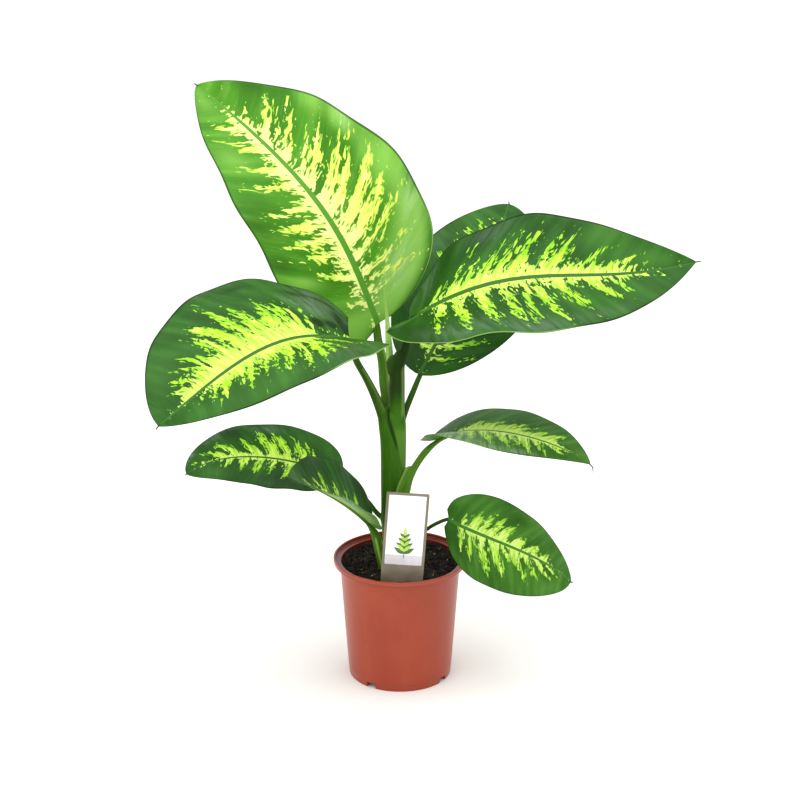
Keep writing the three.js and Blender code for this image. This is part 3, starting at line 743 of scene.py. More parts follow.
def blade(name, leaf, seed, material):
    """Thin closed blade with attributes for its markings and for its painted light, shade and sheen."""
    t, signed, along, aside, edge_aside = blade_grid(leaf)
    share = np.abs(signed)
    points, lower, normal = blade_surfaces(leaf, t, share, along, aside)
    tip = blade_point(leaf, np.array([1.0]), np.array([0.0]))
    under_tip = tip - normal[-1, BLADE_COLUMNS] * BLADE_THICKNESS / 2
    everything = np.vstack([points.reshape(-1, 3), tip, lower.reshape(-1, 3), under_tip])
    detail = math.sqrt(leaf["length"] / TYPICAL_LENGTH)
    spacing = seed * LEAF_SPACING
    place = together(t * leaf["length"] / detail, edge_aside * share / detail, spacing)
    streak = np.where(signed > 0, *[streak_depth(leaf, t, share, which) for which in (0, 1)])
    band = leaf["band"] * leaf["root"] * np.clip(1 - along, 0, 1) ** BAND_NARROWING + RIB_BAND_EDGE
    values_and_tip = {
        "streak": (streak / detail, OUTSIDE),
        "place": (place, [leaf["length"] / detail, 0.0, spacing]),
        # tint: partly the leaf's own tone and partly painted light and shade; sheen: painted reflection.
        "tint": (patches(leaf["tints"], t, signed), 0.0),
        "sheen": (patches(leaf["sheens"], t, signed), 0.0),
        "vein": (np.abs(np.sin(np.pi * SIDE_VEINS * t)), 0.0),
        "rim": (share, 1.0),
        "pale_margin": (pale_margin(leaf, t, signed), 0.0),
        "rib": (1 - np.abs(aside) / band, 1.0),
    }
    attributes = {key: both_sides(*pair) for key, pair in values_and_tip.items()}
    attributes["under"] = np.repeat([0.0, 1.0], t.size + 1)
    faces = sheet_faces(*t.shape)
    # The faces run the other way round where the across and along steps make a left-handed pair.
    middle = faces[(t.shape[0] - 1) * (t.shape[1] - 1) // 2]
    corner, beside, _, beyond = everything[middle]
    if np.cross(beside - corner, beyond - corner).dot(normal.reshape(-1, 3)[middle[0]]) < 0:
        faces = [face[::-1] for face in faces]
    return mesh_object(name + "_blade", everything, faces, material, leaf["slot"], name, **attributes)


def petiole(name, leaf, material):
    """Petiole with its sheath margins, which runs on as the midrib under the blade."""
    knots = list(leaf["petiole"])
    for share in np.arange(RIB_KNOTS + 1) / RIB_KNOTS * RIB_END:
        radius = rib_radius(leaf, share)
        at, _, _, up = rib_frame(leaf, np.array([share]))
        knots.append([*(at[0] - up[0] * (RIB_SINK * radius + RIB_GAP)), radius])
    run = smooth_run(knots, PETIOLE_STEP)
    points, height = run[:, :3], run[:, 2]
    along, spoke = spokes_along(points, TUBE_SIDES)
    covered = covered_length(points)
    blade_at = covered[np.argmin(np.linalg.norm(points - leaf["rib"][0], axis=1))]
    reach = np.repeat(run[:, 3:], TUBE_SIDES, axis=1)
    edge = np.zeros_like(reach)
    for toward, standing, low, top, width, paleness in leaf["wings"]:
        toward = unit(np.array(toward, dtype=float))
        flat = toward[None] - along * (along @ toward)[:, None]
        facing = np.einsum("isk,ik->is", spoke, unit(flat))
        fin = np.exp(-((np.arccos(np.clip(facing, -1, 1)) / width) ** 2))
        level = np.clip((top - height) / WING_RUNOUT, 0, 1)
        grown = np.sqrt(np.clip(1 - (1 - level) ** 2, 0, 1)) * past(height, low, WING_RUNOUT)
        grown = grown[:, None]
        reach = reach + standing * grown * fin
        edge = np.maximum(edge, paleness * fin**3 * grown)
    rings = points[:, None] + spoke * reach[..., None]
    under_blade = smooth_step(covered, blade_at, blade_at + UNDER_RIB_BLEND)
    stalk = leaf["stalk"] + (UNDER_RIB_PALE - leaf["stalk"]) * under_blade
    attributes = {
        "edge": edge,
        "stalk": np.repeat(stalk, TUBE_SIDES),
        "foot": np.repeat(1 - smooth_step(height, *leaf["foot"]), TUBE_SIDES),
        "place": together(circle(TUBE_SIDES) * PETIOLE_RADIUS, covered[:, None], 0.0),
    }
    return ring_object(name + "_petiole", rings, material, "stem_green", name, **attributes)


def drip(name, leaf, material):
    """Dry, dark end of the leaf's tip."""
    tip = blade_point(leaf, np.array([1.0]), np.array([0.0]))[0]
    tangent = rib_frame(leaf, np.array([1.0]))[1][0]
    end = np.array(leaf["drip"], dtype=float)
    onward = np.linalg.norm(end) * tangent
    knots = [
        (*(tip - 2.5 * tangent), DRIP_RADIUS),
        (*(tip + 0.25 * onward + 0.15 * end), DRIP_RADIUS),
        (*(tip + 0.3 * onward + 0.6 * end), 0.7 * DRIP_RADIUS),
        (*(tip + 0.2 * onward + end), 0.3 * DRIP_RADIUS),
    ]
    run = smooth_run(knots, DRIP_STEP)
    rings = run[:, None, :3] + spokes_along(run[:, :3], DRIP_SIDES)[1] * run[:, None, 3:]
    return ring_object(name + "_drip", rings, material, leaf["slot"], name)


# Materials: each has its own small graph of nodes.

class Graph:
    def __init__(self, name):
        self.material = bpy.data.materials.new(name)
        self.material.use_nodes = True
        self.tree = self.material.node_tree
        self.shader = self.tree.nodes["Principled BSDF"]

    def put(self, socket, value):
        if isinstance(value, bpy.types.NodeSocket):
            self.tree.links.new(value, socket)
        else:
            socket.default_value = value

    def node(self, kind, values, output=0, **settings):
        """A new node's output, with its inputs filled by name or number."""
        node = self.tree.nodes.new("ShaderNode" + kind)
        for key, setting in settings.items():
            setattr(node, key, setting)
        for key, value in values.items():
            self.put(node.inputs[key], value)
        return node.outputs[output]

    def attribute(self, name, output="Fac"):
        return self.node("Attribute", {}, output, attribute_name=name)

    def object_place(self):
        return self.node("TexCoord", {}, "Object")

    def height(self):
        """Height above the floor in metres."""
        return self.node("SeparateXYZ", {0: self.object_place()}, 2)

    def radius(self):
        """Distance from the pot's axis in metres."""
        flat = self.stretched(self.object_place(), (1, 1, 0))
        return self.node("VectorMath", {0: flat}, 1, operation="LENGTH")

    def stretched(self, vector, scale):
        return self.node("VectorMath", {0: vector, 1: scale}, operation="MULTIPLY")

    def moved(self, vector, shift):
        """The vector with a number added to all its parts."""
        return self.node("VectorMath", {0: vector, 1: shift}, operation="ADD")

    def noise(self, vector, scale, detail=2.0, roughness=0.5):
        values = {"Vector": vector, "Scale": scale, "Detail": detail, "Roughness": roughness}
        return self.node("TexNoise", values, "Fac")

    def grain(self, vector, along, aside, detail=2.0):
        """Noise on a place attribute, finer or longer in its two directions."""
        return self.noise(self.stretched(vector, (along, aside, 1)), 1.0, detail)

    def math(self, operation, *terms):
        return self.node("Math", dict(enumerate(terms)), operation=operation)

    def times(self, first, second):
        return self.math("MULTIPLY", first, second)

    def fade(self, value, low, high, to_low=0.0, to_high=1.0):
        values = {"Value": value, "From Min": low, "From Max": high, "To Min": to_low, "To Max": to_high}
        return self.node("MapRange", values, "Result", interpolation_type="SMOOTHSTEP")

    def mix(self, share, first, second):
        return self.node("Mix", {0: share, 6: first, 7: second}, 2, data_type="RGBA")

    def layers(self, color, *coats):
        """The colour under coats of (share, colour)."""
        for share, coat in coats:
            color = self.mix(share, color, coat)
        return color

    def bump(self, height, distance, strength=0.5):
        values = {"Height": height, "Distance": distance * MM, "Strength": strength}
        self.put(self.shader.inputs["Normal"], self.node("Bump", values, "Normal"))

    def finish(self, color, roughness, specular):
        self.put(self.shader.inputs["Base Color"], color)
        self.put(self.shader.inputs["Roughness"], roughness)
        self.shader.inputs["Specular IOR Level"].default_value = specular
        return self.material


def rgb(red, green, blue):
    """Screen colour from 0 to 255 as a linear shader colour."""
    def linear(value):
        value /= 255
        return value / 12.92 if value <= 0.04045 else ((value + 0.055) / 1.055) ** 2.4
    return (linear(red), linear(green), linear(blue), 1.0)


def darker(color):
    return tuple(part * DARKENING for part in color[:3]) + (1.0,)


def leaf_sockets(g):
    """The blade's attributes, and the noises that several parts of its look share."""
    s = SimpleNamespace(place=g.attribute("place", "Vector"))
    for key in ("streak", "rim", "rib", "tint", "vein"):
        setattr(s, key, g.attribute(key))
    s.cloud = g.grain(s.place, 0.03, 0.014, 3.0)
    s.line = g.grain(s.place, 0.3, 0.02, 3.0)
    crease = g.grain(s.place, 0.16, 0.03)
    # Painted sheen, a reflection of the sky, broken into streaks along the creases.
    s.sheen = g.times(g.attribute("sheen"), g.fade(crease, 0.38, 0.6, 0.25, 1.2))
    return s


def markings(g, s):
    """Depth inside the streaks, ragged along the veins, and the share of the markings' colour."""
    drift = g.grain(s.place, 0.05, 0.04, 1.0)
    drifted = g.moved(s.place, g.math("MULTIPLY_ADD", drift, 8.0, -4.0))
    finger = g.grain(drifted, 0.19, 0.04)
    ragged = g.grain(drifted, 0.4, 0.13, 1.0)
    depth = g.math("MULTIPLY_ADD", g.math("SUBTRACT", finger, 0.5), 28.0, s.streak)
    depth = g.math("MULTIPLY_ADD", g.math("SUBTRACT", ragged, 0.5), 13.0, depth)
    # Green slits in the markings, and loose flecks beside them.
    slit = g.fade(g.grain(drifted, 0.4, 0.03, 1.0), 0.65, 0.68)
    slit = g.times(slit, g.fade(s.rim, 0.08, 0.3, 0.25, 1.0))
    inside = g.times(g.fade(depth, -0.35, 0.35), g.math("SUBTRACT", 1.0, slit))
    speck = g.fade(g.grain(s.place, 0.36, 0.16, 1.0), 0.73, 0.75)
    inside = g.math("MAXIMUM", inside, g.times(speck, g.fade(s.streak, -8.2, -6.0)))
    inside = g.times(inside, g.fade(s.rib, 0.12, 0.0))
    return depth, g.times(inside, g.fade(s.rim, 0.97, 0.93))


def leaf_ground(g, s, c):
    """Cloudy green with painted light between the side veins, painted sheen, and lighter and darker
    places that are partly painted light and shade.
    """
    return g.layers(
        c.deep,
        (g.fade(s.cloud, 0.3, 0.7), c.middle),
        # Painted light where the blade swells between the side veins.
        (g.times(g.fade(s.vein, 0.4, 1.0), g.fade(s.cloud, 0.4, 0.7, 0.0, 0.3)), c.light),
        (g.fade(s.line, 0.5, 0.8, 0.0, 0.16), c.light),
        # Tints paint light and, below zero, shade, partly standing for the leaf's own tone; the sheen is
        # painted reflection.
        (s.tint, c.light),
        (s.sheen, c.milky),
        (g.times(s.tint, -1.0), darker(c.deep)),
        (g.fade(s.rib, 0.0, 0.25), c.rib),
    )


def leaf_marks(g, s, c, depth, limy):
    """Cream that is palest near the midrib, with lime at the edges and in the grain."""
    grain = g.grain(s.place, 0.22, 0.035)
    limy_grain = g.times(g.fade(grain, 0.46, 0.64, 0.0, limy), g.fade(s.rim, 0.05, 0.4, 0.5, 1.0))
    return g.layers(
        c.lime,
        (g.fade(depth, 0.0, 5.0), c.cream),
        (g.fade(s.rim, 0.4, 0.0, 0.0, 0.6), c.pale),
        (limy_grain, c.lime),
        (g.fade(grain, 0.45, 0.3, 0.0, 0.7), c.pale),
    )


def leaf_material(name, limy, **colours):
    c = SimpleNamespace(**{key: rgb(*colour) for key, colour in colours.items()})
    g = Graph(name)
    s = leaf_sockets(g)
    depth, inside = markings(g, s)
    margin = g.mix(g.attribute("pale_margin"), darker(c.deep), c.under_mark)
    upper = g.layers(
        leaf_ground(g, s, c),
        (inside, leaf_marks(g, s, c, depth, limy)),
        # Painted sheen over the markings as well.
        (g.times(s.sheen, 0.4), c.milky),
        (g.fade(s.rim, 0.972, 0.99, 0.0, 0.85), margin),
    )
    lower = g.layers(
        c.under,
        (g.times(inside, 0.6), c.under_mark),
        (g.fade(s.cloud, 0.3, 0.75, 0.0, 0.3), c.middle),
        (g.fade(s.vein, 0.14, 0.0, 0.0, 0.4), c.under_mark),
    )
    color = g.mix(g.attribute("under"), upper, lower)
    small = g.noise(s.place, 0.6, 3.0, 0.6)
    g.bump(g.math("MULTIPLY_ADD", s.line, 0.4, g.times(small, 0.35)), 0.4)
    return g.finish(color, g.fade(small, 0.2, 0.8, *GREEN_ROUGHNESS), 0.13)


def petiole_material():
    g = Graph("petiole_skin")
    place = g.attribute("place", "Vector")
    lines = g.grain(place, 0.9, 0.02, 3.0)
    cloud = g.grain(place, 0.12, 0.03)
    stalk = g.attribute("stalk")
    dark, light = rgb(40, 76, 8), rgb(88, 134, 36)
    color = g.layers(
        dark,
        (g.fade(cloud, 0.3, 0.7), rgb(62, 104, 18)),
        (g.fade(lines, 0.45, 0.75, 0.0, 0.5), light),
        (stalk, g.mix(g.fade(lines, 0.3, 0.7), light, rgb(116, 160, 48))),
        (g.times(stalk, -1.0), darker(dark)),
        (g.attribute("foot"), g.mix(g.fade(lines, 0.5, 0.8, 0.0, 0.3), rgb(*STEM_GREEN), light)),
        (g.attribute("edge"), rgb(146, 184, 88)),
    )
    g.bump(lines, 0.3)
    return g.finish(color, g.fade(cloud, 0.2, 0.8, *GREEN_ROUGHNESS), 0.1)


def stem_material():
    g = Graph("stem_skin")
    place = g.attribute("place", "Vector")
    tone = g.attribute("tone")
    lines = g.grain(place, 0.5, 0.02, 3.0)
    cloud = g.grain(place, 0.08, 0.03)
    color = g.layers(
        rgb(22, 52, 3),
        (g.fade(tone, 0.0, 0.5), rgb(*STEM_GREEN)),
        (g.fade(tone, 0.5, 1.0), rgb(86, 128, 38)),
        (g.fade(lines, 0.5, 0.8, 0.0, 0.3), rgb(98, 142, 44)),
        (g.fade(cloud, 0.5, 0.8, 0.0, 0.3), rgb(38, 78, 8)),
    )
    g.bump(lines, 0.3)
    return g.finish(color, g.fade(cloud, 0.2, 0.8, *GREEN_ROUGHNESS), 0.1)


def spear_material():
    g = Graph("spear_skin")
    lines = g.grain(g.attribute("place", "Vector"), 0.8, 0.02, 3.0)
    color = g.layers(
        rgb(112, 164, 56),
        (g.fade(lines, 0.35, 0.7), rgb(168, 206, 104)),
        (g.attribute("edge"), rgb(196, 222, 140)),
    )
    g.bump(lines, 0.25)
    return g.finish(color, g.fade(lines, 0.3, 0.7, 0.4, 0.5), 0.4)


def plastic_material():
    """Red plastic with pale scuffs, and painted shade under the rim band, inside the lip and at the
    foot's step.
    """
    # Heights and distances are in metres here.
    g = Graph("pot_plastic_skin")
    place = g.object_place()
    height = g.height()
    cloud = g.noise(place, 14.0, 3.0)
    streaks = g.noise(g.stretched(place, (60.0, 60.0, 5.0)), 1.0)
    band, step, lip = BAND_BOTTOM * MM, FOOT_STEP_HEIGHT * MM, LIP_RADIUS * MM
    # Painted shade in the corner under the rim band.
    shade = g.fade(height, band - 0.005, band - 0.0012)
    shade = g.times(shade, g.fade(height, band + 0.0022, band + 0.0004))
    # Painted shade along the foot's small step.
    line = g.fade(height, step - 0.0008, step - 0.0003)
    line = g.times(line, g.fade(height, step + 0.0008, step + 0.0002))
    # Painted shade inside the lip, from just under the rim band up.
    inner = g.times(g.fade(g.radius(), lip + 0.0004, lip - 0.0004), g.fade(height, band - 0.004, band))
    color = g.layers(
        rgb(150, 51, 22),
        (g.fade(cloud, 0.3, 0.7), rgb(158, 58, 27)),
        (g.fade(streaks, 0.45, 0.8, 0.0, 0.3), rgb(168, 70, 40)),
        (g.times(shade, 0.6), rgb(104, 26, 12)),
        (g.times(line, 0.5), rgb(122, 34, 16)),
        (g.times(inner, 0.75), rgb(112, 32, 20)),
        (g.fade(g.noise(place, 260.0, 4.0, 0.7), 0.66, 0.72, 0.0, 0.25), rgb(205, 140, 118)),
    )
    g.bump(g.math("MULTIPLY_ADD", g.noise(place, 900.0), 0.4, streaks), 0.12, 0.4)
    at_rim = g.fade(height, band - 0.0005, band + 0.0015, 0.0, -0.1)
    return g.finish(color, g.math("ADD", g.fade(cloud, 0.2, 0.8, 0.29, 0.36), at_rim), 0.42)


def soil_material(name, dark, light, roughness):
    g = Graph(name)
    place = g.object_place()
    coarse = g.noise(place, 160.0, 4.0, 0.65)
    fine = g.noise(place, 900.0, 3.0, 0.7)
    color = g.mix(g.fade(coarse, 0.35, 0.7), rgb(*dark), rgb(*light))
    color = g.mix(g.fade(fine, 0.6, 0.8, 0.0, 0.5), color, rgb(*light))
    g.bump(g.math("ADD", coarse, fine), 0.8, 0.9)
    return g.finish(color, roughness, 0.25)


def card_material(name, base, other, roughness):
    g = Graph(name)
    place = g.object_place()
    cloud = g.fade(g.noise(place, 60.0), 0.3, 0.7)
    g.bump(g.noise(place, 1200.0), 0.03)
    return g.finish(g.mix(cloud, rgb(*base), rgb(*other)), roughness, 0.45)


# Stem

def strip_tones(turn, z):
    """Lighter and darker strips of the overlapping sheaths, and how far each stands out."""
    # Edges as places across the stem, from -1 on its left to 1 on its right, at heights in millimetres.
    sideways = np.sin(turn)
    middle = np.interp(z, [304, 310, 325, 336, 355, 372], [0.45, 0.37, 0.1, -0.08, -0.42, -0.6])
    half = np.interp(z, [304, 312, 330, 372], [0.02, 0.07, 0.15, 0.16])
    first = middle - half
    second = np.where(z > 304, middle + half, np.interp(z, [262, 279, 304], [0.98, 0.8, 0.47]))
    right = past(sideways, second, 0.03)
    dark = smooth_step(sideways, first - 0.04, first + 0.02) * (1 - right) * smooth_step(z, 300, 318)
    low = 1 - smooth_step(z, 240, 320)
    centre = low * np.exp(-((sideways - 0.15) / 0.35) ** 2)
    left = low * (1 - smooth_step(sideways, -0.6, -0.2))
    right_tone = 0.4 * right * (1 - 0.8 * smooth_step(z, 326, 346))
    front_tone = 0.5 + right_tone - 0.45 * dark - 0.28 * centre + 0.07 * left
    seam = np.interp(z, [170, 250, 320, 360], [-0.9, -0.35, 0.2, 0.6])
    behind = past(sideways, seam, 0.03)
    front = np.cos(turn) > FRONT_LIMIT
    tone = np.where(front, front_tone, 0.38 + 0.24 * behind)
    return np.clip(tone, 0, 1), np.where(front, 0.5 * right - 0.7 * dark, 0.5 * behind)


def stem(material):
    run = smooth_run([(x, 0, z, radius) for z, x, radius in STEM_LEVELS], STEM_STEP)
    turn, z = np.meshgrid(circle(STEM_SIDES), run[:, 2])
    tone, step = strip_tones(turn, z)
    reach = run[:, 3:] + step
    rings = together(run[:, :1] + reach * np.sin(turn), -reach * np.cos(turn), z)
    place = together(turn * STEM_RADIUS, z, 0.0)
    return ring_object("stem_sheaths", rings, material, "stem_green", "stem", tone=tone, place=place)


def spear(material):
    """Rolled leaf, whose free edge winds round it."""
    run = smooth_run(SPEAR, SPEAR_STEP)
    points = run[:, :3]
    angle = circle(TUBE_SIDES)
    share = np.linspace(0, 1, len(run))[:, None]
    wrapped = np.mod(angle + ROLL_START - ROLL_WINDING * share, 2 * np.pi) / (2 * np.pi)
    reach = run[:, 3:] * (ROLL_INNER + ROLL_STEP * wrapped)
    rings = points[:, None] + spokes_along(points, TUBE_SIDES)[1] * reach[..., None]
    place = together(angle * SPEAR_RADIUS, run[:, 2:3], 0.0)
    edge = smooth_step(wrapped, 0.9, 0.99)
    return ring_object("spear_roll", rings, material, "spear_green", "spear", edge=edge, place=place)


# Pot

def arc(x, z, radius, start, stop, count):
    """Points on a rounded edge about a centre, from one angle to another in degrees."""
    turns = np.radians(np.linspace(start, stop, count))
    return [(x + radius * math.cos(a), z + radius * math.sin(a)) for a in turns]


def pot_profile():
    """Radius and height, from the axis under the floor round the rim to the axis on the floor."""
    floor = FOOT_HEIGHT + POT_WALL
    inner_neck = NECK_RADIUS - POT_WALL
    shelf = BAND_BOTTOM + POT_WALL
    slope = (NECK_RADIUS - FOOT_RADIUS) / (BAND_BOTTOM - 1)
    heights = np.linspace(FOOT_STEP_HEIGHT + 0.8, BAND_BOTTOM - 1.2, WALL_RINGS)
    return [
        (AXIS_HOLE, 0),
        *arc(CENTRE_FOOT_RADIUS - 1, 1, 1, -90, 0, 5),
        (CENTRE_FOOT_RADIUS, FOOT_HEIGHT),
        (FOOT_RADIUS - FOOT_RING_WIDTH, FOOT_HEIGHT),
        (FOOT_RADIUS - FOOT_RING_WIDTH, 0),
        *arc(FOOT_RADIUS - FOOT_STEP - FOOT_EDGE, FOOT_EDGE, FOOT_EDGE, -90, 0, 6),
        (FOOT_RADIUS - FOOT_STEP + slope * FOOT_STEP_HEIGHT, FOOT_STEP_HEIGHT),
        *[(FOOT_RADIUS + slope * z, z) for z in heights],
        *arc(NECK_RADIUS + NECK_EDGE, BAND_BOTTOM - NECK_EDGE, NECK_EDGE, 180, 90, 6),
        *arc(RIM_RADIUS - BAND_EDGE, BAND_BOTTOM + BAND_EDGE, BAND_EDGE, -90, 0, 8),
        *arc(RIM_RADIUS - RIM_EDGE, POT_HEIGHT - RIM_EDGE, RIM_EDGE, 0, 90, 9),
        *arc(LIP_RADIUS + LIP_EDGE, POT_HEIGHT - LIP_EDGE, LIP_EDGE, 90, 180, 7),
        (LIP_RADIUS - 0.3, shelf + 2.0),
        *arc(LIP_RADIUS - 1.6, shelf + 1.2, 1.2, 0, -90, 6),
        *arc(inner_neck + 0.8, shelf - 0.8, 0.8, 90, 180, 5),
        (inner_neck - (inner_neck - BEND_RADIUS) * 0.3, BEND_HEIGHT),
        (FOOT_RADIUS - POT_WALL, floor),
        (AXIS_HOLE, floor),
    ]


def notch_cutter(turn):
    """Box across the foot ring, which stands on the floor's plane with its lower half below it."""
    size = (4 * FOOT_RING_WIDTH, NOTCH_WIDTH, 2 * NOTCH_HEIGHT)
    ends = (-0.5, 0.5)
    corners = np.array([(x, y, z) for x in ends for y in ends for z in ends]) * size
    c, s = math.cos(turn), math.sin(turn)
    corners = (corners + (FOOT_RADIUS, 0, 0)) @ np.array([(c, s, 0), (-s, c, 0), (0, 0, 1)])
    faces = [(0, 1, 3, 2), (4, 6, 7, 5), (0, 4, 5, 1), (2, 3, 7, 6), (0, 2, 6, 4), (1, 5, 7, 3)]
    return linked("notch_cutter", mesh_data("notch_cutter", corners, faces))


def pot(material):
    radius, height = np.array(pot_profile()).T
    rings = ring_points(radius, height[:, None], POT_SEGMENTS)
    piece = ring_object("pot_shell", rings, material, "pot_plastic", "pot")
    turns = [FIRST_NOTCH_DEG + 360 * k / NOTCH_COUNT for k in range(NOTCH_COUNT)]
    cutters = [notch_cutter(math.radians(turn)) for turn in turns]
    for cutter in cutters:
        cut = piece.modifiers.new("notch", "BOOLEAN")
        cut.operation = "DIFFERENCE"
        cut.object = cutter
        cut.solver = "EXACT"
    graph = bpy.context.evaluated_depsgraph_get()
    cut_mesh = bpy.data.meshes.new_from_object(piece.evaluated_get(graph))
    piece.modifiers.clear()
    piece.data = cut_mesh
    for cutter in cutters:
        bpy.data.objects.remove(cutter)
    return piece


# Soil

def soil_height(x, y):
    """Height of the uneven top: gentle swells with finer clods, pressed down where the label stands."""
    swell = SOIL_RELIEF * (np.sin(x / 9 + 1) * np.cos(y / 11) + 0.5 * np.sin((x + y) / 5))
    clod = 0.5 * np.sin(x / 2.3 + 0.7 * np.sin(y / 3.1)) * np.cos(y / 2.7 + 0.6 * np.sin(x / 2.9))
    crumb = 0.28 * np.sin(x / 0.9 + y / 1.7) * np.cos(y / 1.1 - x / 2.1)
    across = (x - LABEL_MIDDLE_X) / LABEL_WIDTH * 1.6
    pressed = SOIL_DENT * np.exp(-across**2 - ((y - LABEL_Y) / 12) ** 2)
    return SOIL_LEVEL + swell + clod + crumb - pressed


def soil_top(material):
    radius = SOIL_RADIUS * (np.arange(1, SOIL_RINGS + 1) / SOIL_RINGS)
    top = ring_points(radius, 0.0, SOIL_SEGMENTS)
    top[..., 2] = soil_height(top[..., 0], top[..., 1])
    top[-1, :, 2] = SOIL_LEVEL - SOIL_EDGE_DROP
    floor = FOOT_HEIGHT + POT_WALL + SOIL_CLEARANCE
    foot = ring_points(np.array([SOIL_FOOT_RADIUS]), floor, SOIL_SEGMENTS)
    return ring_object("soil_body", np.concatenate([foot, top[::-1]]), material, "soil", "soil")


def lump(rng, radius):
    """Small uneven clod as a rounded cage of rings, every other ring turned by half a side."""
    stretch = rng.uniform(*LUMP_STRETCH, 3)
    ring, side = np.divmod(np.arange(LUMP_RINGS * LUMP_SIDES), LUMP_SIDES)
    lift = -np.cos(np.pi * (ring + 0.5) / LUMP_RINGS)
    width = np.sqrt(1 - lift**2)
    turn = 2 * np.pi * (side + 0.5 * (ring % 2)) / LUMP_SIDES
    jitter = rng.uniform(*LUMP_JITTER, len(ring))[:, None]
    return together(width * np.cos(turn), width * np.sin(turn), lift) * jitter * stretch * radius


def turned_about(rng):
    axis = unit(rng.normal(size=3))
    angle = rng.uniform(0, 2 * math.pi)
    k = np.array([(0, -axis[2], axis[1]), (axis[2], 0, -axis[0]), (-axis[1], axis[0], 0)])
    return np.eye(3) + math.sin(angle) * k + (1 - math.cos(angle)) * (k @ k)


def scattered(rng, margin):
    """A place on the soil, clear of the stem, the label and the wall."""
    _, stem_x, stem_radius = STEM_LEVELS[1]
    while True:
        x, y = rng.uniform(-SOIL_RADIUS, SOIL_RADIUS, 2)
        off_stem = math.hypot(x - stem_x, y) > stem_radius + margin
        beside_label = abs(x - LABEL_MIDDLE_X) > LABEL_WIDTH / 2 + margin
        off_label = beside_label or abs(y - LABEL_Y) > LABEL_CLEARANCE + margin
        if math.hypot(x, y) < SOIL_RADIUS - margin and off_stem and off_label:
            return x, y


def lumps(name, count, radii, sink, material, seed):
    """Scattered clods, most of them small, each sunk into the soil by a share of its size."""
    rng = np.random.default_rng(seed)
    small, large = radii
    verts, faces = [], []
    for number in range(count):
        radius = small + (large - small) * rng.random() ** LUMP_SMALLNESS
        x, y = scattered(rng, radius + LUMP_SPACING)
        points = lump(rng, radius)
        at = (x, y, soil_height(x, y) + radius * (1 - 2 * sink) * 0.6)
        verts.append(points @ turned_about(rng).T + at)
        faces.extend(ring_faces(LUMP_RINGS, LUMP_SIDES, number * LUMP_RINGS * LUMP_SIDES))
    return mesh_object(name, np.vstack(verts), faces, material, "soil", "soil")


def fibres(material):
    """Thin bent fibres that lie on the soil, a little raised in the middle."""
    rng = np.random.default_rng(SEED + 3)
    verts, faces, first = [], [], 0
    for _ in range(FIBRES):
        x, y = scattered(rng, 6)
        length = rng.uniform(*FIBRE_LENGTH)
        turn = rng.uniform(0, 2 * math.pi)
        angle = turn + rng.uniform(*FIBRE_BEND) * np.linspace(-0.5, 0.5, FIBRE_POINTS)
        px = x + np.cumsum(np.cos(angle)) * length / FIBRE_POINTS
        py = y + np.cumsum(np.sin(angle)) * length / FIBRE_POINTS
        keep = np.hypot(px, py) < SOIL_RADIUS - 1.5
        if keep.sum() < 4:
            continue
        px, py = px[keep], py[keep]
        rise = rng.uniform(*FIBRE_RISE) * np.sin(np.linspace(0, math.pi, len(px)))
        points = together(px, py, soil_height(px, py) + 0.5 + rise)
        tube = points[:, None] + rng.uniform(*FIBRE_RADIUS) * spokes_along(points, FIBRE_SIDES)[1]
        verts.append(tube.reshape(-1, 3))
        faces.extend(ring_faces(len(points), FIBRE_SIDES, first))
        first += len(points) * FIBRE_SIDES
    return mesh_object("soil_fibres", np.vstack(verts), faces, material, "soil", "soil")


# Label

def on_label(points):
    """Points given on the card, as across, out of its face and up, in the card's leaning place."""
    lean = math.radians(LABEL_LEAN_DEG)
    points = np.asarray(points, dtype=float)
    x = points[:, 0] * math.cos(lean) + points[:, 2] * math.sin(lean)
    z = -points[:, 0] * math.sin(lean) + points[:, 2] * math.cos(lean)
    return together(x + LABEL_MIDDLE_X, -points[:, 1] + LABEL_Y, z + SOIL_LEVEL)


def prism(outlines, back, front):
    """Closed flat solids from outlines of (across, up), between two depths out of the card's middle."""
    verts, faces = [], []
    for outline in outlines:
        faces.extend(ring_faces(2, len(outline), len(verts)))
        verts.extend((x, depth, z) for depth in (back, front) for x, z in outline)
    return on_label(verts), faces


def rounded(left, right, low, high, radius, count=7):
    corners = [(right - radius, low + radius, -90), (right - radius, high - radius, 0),
               (left + radius, high - radius, 90), (left + radius, low + radius, 180)]
    return [point for x, z, start in corners for point in arc(x, z, radius, start, start + 90, count)]


def leaf_outline(x, z, length, width, turn_deg):
    """Pointed oval that grows from a place at an angle from upright."""
    share = np.linspace(0, 1, 12)
    side = width / 2 * np.sin(np.pi * share**0.8)
    along = np.concatenate([share * length, share[-2:0:-1] * length])
    across = np.concatenate([side, -side[-2:0:-1]])
    turn = math.radians(turn_deg)
    px = x + along * math.sin(turn) + across * math.cos(turn)
    pz = z + along * math.cos(turn) - across * math.sin(turn)
    return list(zip(px, pz))


def sprig():
    """The label's plain plant: outlines of its dark leaves with the stalk, and of its light leaves."""
    # The pairs get shorter, narrower and steeper up the stalk.
    dark = [leaf_outline(0, SPRIG_FOOT + SPRIG_STEP * k, 15 - 2 * k, 6 - 0.7 * k, side * (58 - 5 * k))
            for k in range(4) for side in (-1, 1)]
    dark.append(rounded(-0.5, 0.5, SPRIG_FOOT - 6, SPRIG_FOOT + SPRIG_HEIGHT, 0.4, 3))
    between = SPRIG_FOOT + SPRIG_STEP / 2
    light = [leaf_outline(0, between + SPRIG_STEP * k, 12 - 2 * k, 4.6 - 0.6 * k, side * (44 - 5 * k))
             for k in range(3) for side in (-1, 1)]
    light.append(leaf_outline(0, SPRIG_FOOT + SPRIG_HEIGHT - 2, 11, 4.6, 0))
    return dark, light


